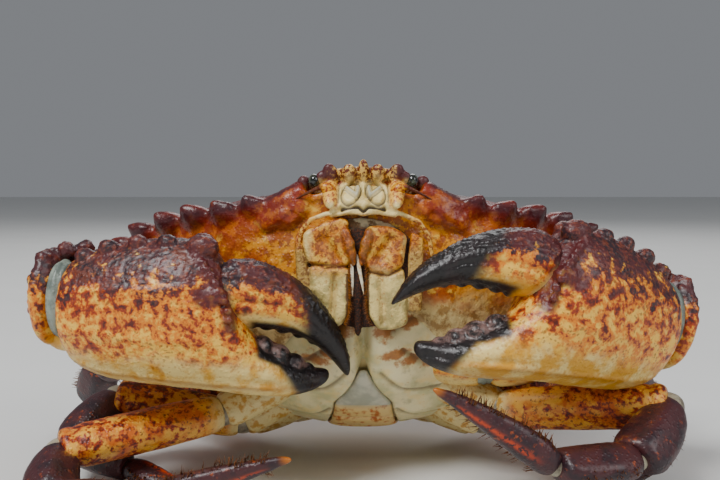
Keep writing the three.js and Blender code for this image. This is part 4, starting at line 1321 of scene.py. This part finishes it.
def bent_in(form, degrees):
    """Bends what lies beyond `bend_start` in towards the mouth."""
    full = math.radians(degrees)
    radius = bend_span / full
    past = np.maximum(form[:, 0] - bend_start, 0)
    turn = full * np.minimum(past / bend_span, 1)
    beyond = np.maximum(past - bend_span, 0)
    bent = form.copy()
    x = bend_start + (radius - form[:, 1]) * np.sin(turn) + beyond * np.cos(turn)
    y = radius - (radius - form[:, 1]) * np.cos(turn) + beyond * np.sin(turn)
    bent[:, 0] = np.where(past > 0, x, form[:, 0])
    bent[:, 1] = np.where(past > 0, y, form[:, 1])
    return bent


def hand_model(bend, black_from):
    """A hand along X from its wrist, its outer face towards -Y, with its lower finger and teeth."""
    hand = drawn_out(hand_rings, around=28)
    finish_with(hand, "SUBSURF", levels=2, render_levels=2)
    extras = []
    molars = (
        (46.4, -5.4, 1.6), (49.4, -7.6, 2.5), (53.4, -10.0, 2.7), (57.2, -12.0, 2.3), (60.6, -13.8, 1.6),
    )
    for x, z, r in molars:
        extras.append(ball((r * 1.1, r * 1.15, r), (x, 0.2, z), segments=20, rings=14))
    # The beaded collar round the upper finger's root, and the knobs along the hand's crest.
    collar = ((35.4, 14.2), (37.6, 12.4), (39.6, 9.6), (41.2, 6.4), (42.6, 2.2), (43.0, -2.0))
    for (x0, z0), (x1, z1) in zip(collar[:-1], collar[1:]):
        for t in (0, 0.5):
            x, z = x0 + (x1 - x0) * t, z0 + (z1 - z0) * t
            for face, depth in ((-1, 8.3), (1, 7.4)):
                y = face * depth * math.sqrt(max(0.1, 1 - (z / 17.2) ** 2))
                extras.append(ball((0.8, 0.8, 0.8), (x, y, z), segments=12, rings=8))
    for x, y, z, r in (
        (36.6, -2.6, 15.2, 2.8), (34.8, 2.6, 15.4, 2.4), (28.5, -3.0, 16.0, 1.9), (21.5, -3.2, 15.7, 1.8),
        (14.5, -3.4, 14.2, 1.9), (8.4, -3.2, 11.9, 1.9), (39.4, -6.4, 5.2, 2.4), (39.4, 6.0, 5.2, 2.2),
    ):
        extras.append(ball((r * 1.3, r, r), (x, y, z), segments=16, rings=10))
    hand = skin(join([hand] + extras), 0.44, rounds=3)
    form = points_of(hand)
    outer = smooth(-form[:, 1], -1, 3)
    # A low ridge along the outer face above the smooth underside, and two faint ones higher up.
    for line, lift, broad in (
        (hand_rim, 0.5, 0.9),
        (((6, -4.6), (20, -4.8), (38, -4.4)), 0.3, 1.1),
        (((6, 4), (20, 5.8), (35, 6.8)), 0.35, 1.2),
    ):
        form[:, 1] -= lift * bell(from_line(form[:, [0, 2]], line), broad) * outer
    # A furrow runs along each side of the lower finger.
    furrow = from_line(form[:, [0, 2]], ((47, -14.6), (56, -16.6), (63, -16.4)))
    form[:, 1] += np.sign(form[:, 1]) * -0.6 * bell(furrow, 0.8)
    set_points(hand, form)
    upper = smooth(form[:, 2] + 0.12 * form[:, 0], 3, 9) * (1 - smooth(form[:, 0], 42, 44))
    grain = grained(hand, 0.25 * outer + upper, hand_grains, 0.5, 0.17, 11)
    hand = pitted(hand, 4.2, 0.24)
    hand = pitted(hand, 0.8, 0.08)
    near_collar = np.minimum(
        from_line(form[:, [0, 2]], collar), np.hypot(form[:, 0] - 39.4, form[:, 2] - 5.2) - 1.4
    )
    edge = (
        form[:, 2]
        - np.interp(form[:, 0], [r[0] for r in hand_rings], [r[1] + 0.2 * r[2] for r in hand_rings])
    )
    black = smooth(form[:, 0] + 0.9 * np.clip(edge, -3, 3), black_from, black_from + 3.4)
    black = np.maximum(black, smooth(edge, 1.2, 2.6) * smooth(form[:, 0], 46.8, 48.4))
    collar_mask = 1 - smooth(near_collar, 0.6, 1.6)
    claw_traits(
        hand, high=form[:, 2] / 17.0, along=form[:, 0] / 44.0, black=black, grain=grain, collar=collar_mask
    )
    # Paler tops of the molars, painted as a highlight.
    on_tooth = np.max(
        [1.25 - np.linalg.norm(form - (x, 0.2, z), axis=1) / (r * 1.15) for x, z, r in molars], axis=0
    )
    trait(hand, "painted_molar_highlight", smooth(on_tooth, 0.0, 0.3) * smooth(edge, 0, 1.6))
    trait(hand, "ridge", bell(from_line(form[:, [0, 2]], hand_rim), 0.7) * outer)
    set_points(hand, bent_in(points_of(hand), bend))
    return hand


def finger_model(bend, gape, black_from, reach):
    """The upper finger, hooked and ridged, opened by `gape` about its pegs."""
    finger = drawn_out(finger_rings, around=24)
    finish_with(finger, "SUBSURF", levels=2, render_levels=2)
    bumps = ((46.4, -2.6, 1.6), (50.0, -3.2, 1.9), (53.8, -4.4, 2.0), (57.6, -6.2, 1.8), (61.0, -8.6, 1.5))
    extras = [ball((r * 1.1, r, r * 0.9), (x, 0, z), segments=20, rings=14) for x, z, r in bumps]
    finger = skin(join([finger] + extras), 0.36, rounds=3)
    form = points_of(finger)
    middle = np.interp(form[:, 0], [r[0] for r in finger_rings], [r[1] for r in finger_rings])
    half = np.interp(form[:, 0], [r[0] for r in finger_rings], [r[2] for r in finger_rings])
    level = (form[:, 2] - middle) / half
    # Two long furrows along each side, between rows of grains.
    for at in (0.42, -0.2):
        well = bell(level - at, 0.1) * smooth(form[:, 0], 41, 46) * (1 - smooth(form[:, 0], 60, 64))
        form[:, 1] -= np.sign(form[:, 1]) * 0.42 * well
    set_points(finger, form)
    grain = grained(
        finger, smooth(level, 0.1, 0.6) * smooth(form[:, 0], 38, 41), finger_grains, 0.62, 0.26, 12
    )
    finger = pitted(finger, 1.6, 0.16)
    black = smooth(form[:, 0], black_from, black_from + 5)
    black = np.maximum(black, smooth(-level, 0.62, 0.84) * smooth(form[:, 0], 44.5, 47))
    root = (1 - smooth(form[:, 0], 41, 43.6)) * (1 - smooth(level, -0.2, 0.4))
    claw_traits(
        finger, high=level * 1.2 + 0.1, along=(form[:, 0] - 38) / 28, black=black, grain=grain, root=root
    )
    shorter = Matrix.Diagonal((reach, 1, 1, 1))
    opened = Matrix.Rotation(math.radians(-gape), 4, "Y")
    finger.data.transform(Matrix.Translation(hinge) @ opened @ shorter @ Matrix.Translation(-hinge))
    set_points(finger, bent_in(points_of(finger), bend))
    return finger


def arm_model(kind, place, length, stout, seed):
    """One plate of the arm, knobbed along its upper edge."""
    arm = drawn_out(
        [(x * length, z * stout, h * stout, w * stout) for x, z, h, w in plate_rings[kind]], around=24
    )
    finish_with(arm, "SUBSURF", levels=2, render_levels=2)
    extras = []
    if kind == "carpus":
        for x, y, z, r in (
            (0.3, -0.3, 0.72, 0.2), (0.55, -0.46, 0.78, 0.24), (0.8, -0.3, 0.84, 0.22),
            (0.9, -0.66, 0.3, 0.2), (0.75, 0.45, 0.74, 0.24), (0.9, -0.6, -0.3, 0.18),
            (0.5, 0.5, 0.6, 0.18),
        ):
            extras.append(ball((r * stout,) * 3, (x * length, y * stout, z * stout), segments=16, rings=10))
    arm = skin(join([arm] + extras), 0.6, rounds=3)
    form = points_of(arm)
    grain = grained(arm, smooth(form[:, 2] / stout, -0.2, 0.5), arm_grains, 0.8, 0.3, seed)
    arm = pitted(arm, 3.2, 0.4)
    claw_traits(arm, high=form[:, 2] / stout, along=form[:, 0] / length, grain=grain)
    arm.data.transform(place)
    return arm


def soft_joint(size, place):
    soft = ball(size, (0, 0, 0), segments=40, rings=26)
    form = points_of(soft)
    form *= (1 + 0.03 * np.cos(form[:, 0] * 4.2))[:, None]
    set_points(soft, form)
    claw_traits(soft, skin=np.ones(len(form)))
    soft.data.transform(place)
    return soft


def cuff_model(place):
    """The wrist plate's thick rim, which stands round the root of the hand."""
    knobs = (
        ((-3.0, -2.2, 10.6), 1.8), ((0.6, 2.2, 12.2), 2.0), ((4.4, 4.2, 12.6), 2.0), ((-4.8, -3.2, 5.6), 1.4),
        ((-5.0, -3.4, -1.4), 1.3), ((-1.0, 6.0, 10.0), 2.0), ((2.0, 7.6, 3.0), 2.2),
    )
    core = ball((3.6, 8.2, 11.6), (-2.6, 0.8, 1.2), segments=48, rings=32)
    cuff = join([core, *[ball((r * 1.1, r, r), at, segments=16, rings=10) for at, r in knobs]])
    cuff = skin(cuff, 0.5, rounds=3)
    form = points_of(cuff)
    grain = grained(cuff, smooth(form[:, 2], -2, 5), 260, 0.8, 0.3, 31)
    cuff = pitted(cuff, 2.6, 0.35)
    claw_traits(cuff, high=form[:, 2] / 13.0, grain=grain)
    cuff.data.transform(place)
    if place.determinant() < 0:
        cuff.data.flip_normals()
    return cuff


# Joints from hip to wrist, where the hand points and which way is up, how far the finger gapes and the hand
# bends, the hand's size, where the black of the hand and of the finger begins, and the finger's length.
claws = {
    "left": (
        ((18, -26, 32), (30, -29, 31), (62, -21, 38), (73, -33.5, 40.6)),
        (-0.8, -0.54, 0.225), (0.12, 0.06, 1), 21, 33, 1.03, 53.0, 52.0, 0.89,
    ),
    "right": (
        ((-18, -26, 32), (-30, -29, 31), (-61, -25, 43), (-71.5, -41.5, 47.2)),
        (0.975, -0.22, -0.035), (0, -0.05, 1), 5, 35, 1.0, 52.0, 54.5, 1.0,
    ),
}
arm_stout = 9.2
claw_pieces = []
for word, (places, aim, up, gape, bend, size, hand_black, finger_black, reach) in claws.items():
    joints = [Vector(place) for place in places]
    skyward = Vector((0, 0, 1))
    plates = []
    for number, (kind, share) in enumerate((("coxa", 0.78), ("merus", 1.0), ("carpus", 1.4))):
        start, end = joints[number:number + 2]
        place = segment_frame(start, end, skyward)
        plates.append(arm_model(kind, place, (end - start).length, arm_stout * share, 20 + number))
        if number:
            r = arm_stout * (0.62 if number == 1 else 0.66)
            plates.append(soft_joint((r, r * 0.86, r), place))
    wrist = segment_frame(joints[3], joints[3] + Vector(aim), Vector(up))
    turned = wrist @ Matrix.Diagonal((size, -size if word == "left" else size, size, 1))
    plates.append(soft_joint((3.7, 6.3, 9.3), turned @ Matrix.Translation((1.5, -0.2, 0.9))))
    plates.append(cuff_model(turned))
    arm = join(plates)
    hand = hand_model(bend, hand_black)
    finger = finger_model(bend, gape, finger_black, reach)
    for piece in (hand, finger):
        piece.data.transform(turned)
        trait(piece, "warm", np.full(len(piece.data.vertices), float(word == "left")))
        if word == "left":
            piece.data.flip_normals()
    for piece, name in ((arm, "arm"), (hand, "hand"), (finger, "finger")):
        piece.data.transform(Matrix.Translation(plan_shift))
        set_in_place(piece, name + "_" + word)
        claw_pieces.append((piece, name, word))

horn = Finish("claw shell, purple above, orange and cream below")
high = horn.trait("high")
blot = horn.cloud(5.5, 4, 0.6)
patch = horn.cloud(14, 2)
fine = horn.cloud(1.1, 3, 0.6)
mottle = horn.cloud(3.0, 5, 0.68)
loose = horn.wander(3.0, 2.0)
height = high + (blot - 0.5) * 0.4
# One cloud runs through all the colours, so that every blotch has a paler border.
stain = horn.cloud(2.7, 3, 0.58, loose) * 0.74 + fine * 0.26 + height * 0.1
orange = horn.blend((230, 188, 112), (204, 128, 46), stain, 0.38, 0.5)
red = horn.blend((146, 66, 28), (78, 30, 22), stain, 0.54, 0.63)
orange = horn.blend(orange, red, stain + (patch - 0.5) * 0.12, 0.5, 0.55)
speckle = horn.step(horn.cells(1.0, loose) + (blot - 0.5) * 0.9 - height * 0.1, 0.36, 0.22)
orange = horn.mix(orange, (92, 40, 24), speckle * 0.55)
purple = horn.blend((72, 34, 36), (38, 22, 28), blot, 0.42, 0.6)
purple = horn.mix(purple, (146, 84, 66), horn.trait("grain") * horn.step(fine, 0.42, 0.6) * 0.5)
purple = horn.blend(purple, (116, 58, 30), patch + (mottle - 0.5) * 1.0, 0.6, 0.7, 0.45)
cream = horn.blend((226, 204, 148), (198, 152, 84), blot + horn.trait("warm") * 0.12, 0.46, 0.66)
cream = horn.mix(cream, (150, 90, 44), speckle * 0.3)
cream = horn.blend(cream, (178, 116, 58), stain, 0.5, 0.62, 0.5)
tone = horn.blend(cream, orange, height, -0.74, -0.42)
tone = horn.blend(tone, purple, height + (stain - 0.5) * 3.0, 0.32, 0.66)
tone = horn.mix(tone, (142, 92, 48), horn.trait("ridge") * 0.5)
tone = horn.mix(tone, (76, 32, 34), horn.trait("collar") * 0.85)
tone = horn.mix(tone, (234, 216, 172), horn.trait("root"))
pitch = horn.blend((16, 12, 12), (36, 26, 27), blot, 0.45, 0.7)
# Painted highlight on the tops of the molars.
pitch = horn.mix(pitch, (146, 120, 114), horn.trait("painted_molar_highlight") * horn.step(mottle, 0.4, 0.62) * 0.7)
tone = horn.mix(tone, pitch, horn.trait("black"))
membrane = horn.blend((146, 154, 144), (104, 112, 106), blot, 0.4, 0.6)
tone = horn.mix(tone, membrane, horn.trait("skin"))
horn.surface(
    Base_Color=tone,
    Roughness=0.36 + fine * 0.2 - horn.trait("black") * 0.04,
    Coat_Weight=0.12,
    Coat_Roughness=0.2,
    Normal=horn.relief(fine, 0.1, horn.relief(horn.step(horn.cells(1.0), 0.1, 0.5) * -1.0, 0.08)),
)
for piece, name, word in claw_pieces:
    nodes = ("ischium", "merus", "carpus") if name == "arm" else (name,)
    slot = "finger" if name == "finger" else "claw"
    dress(piece, horn, slot, *["claw_" + word + "_" + node for node in nodes])
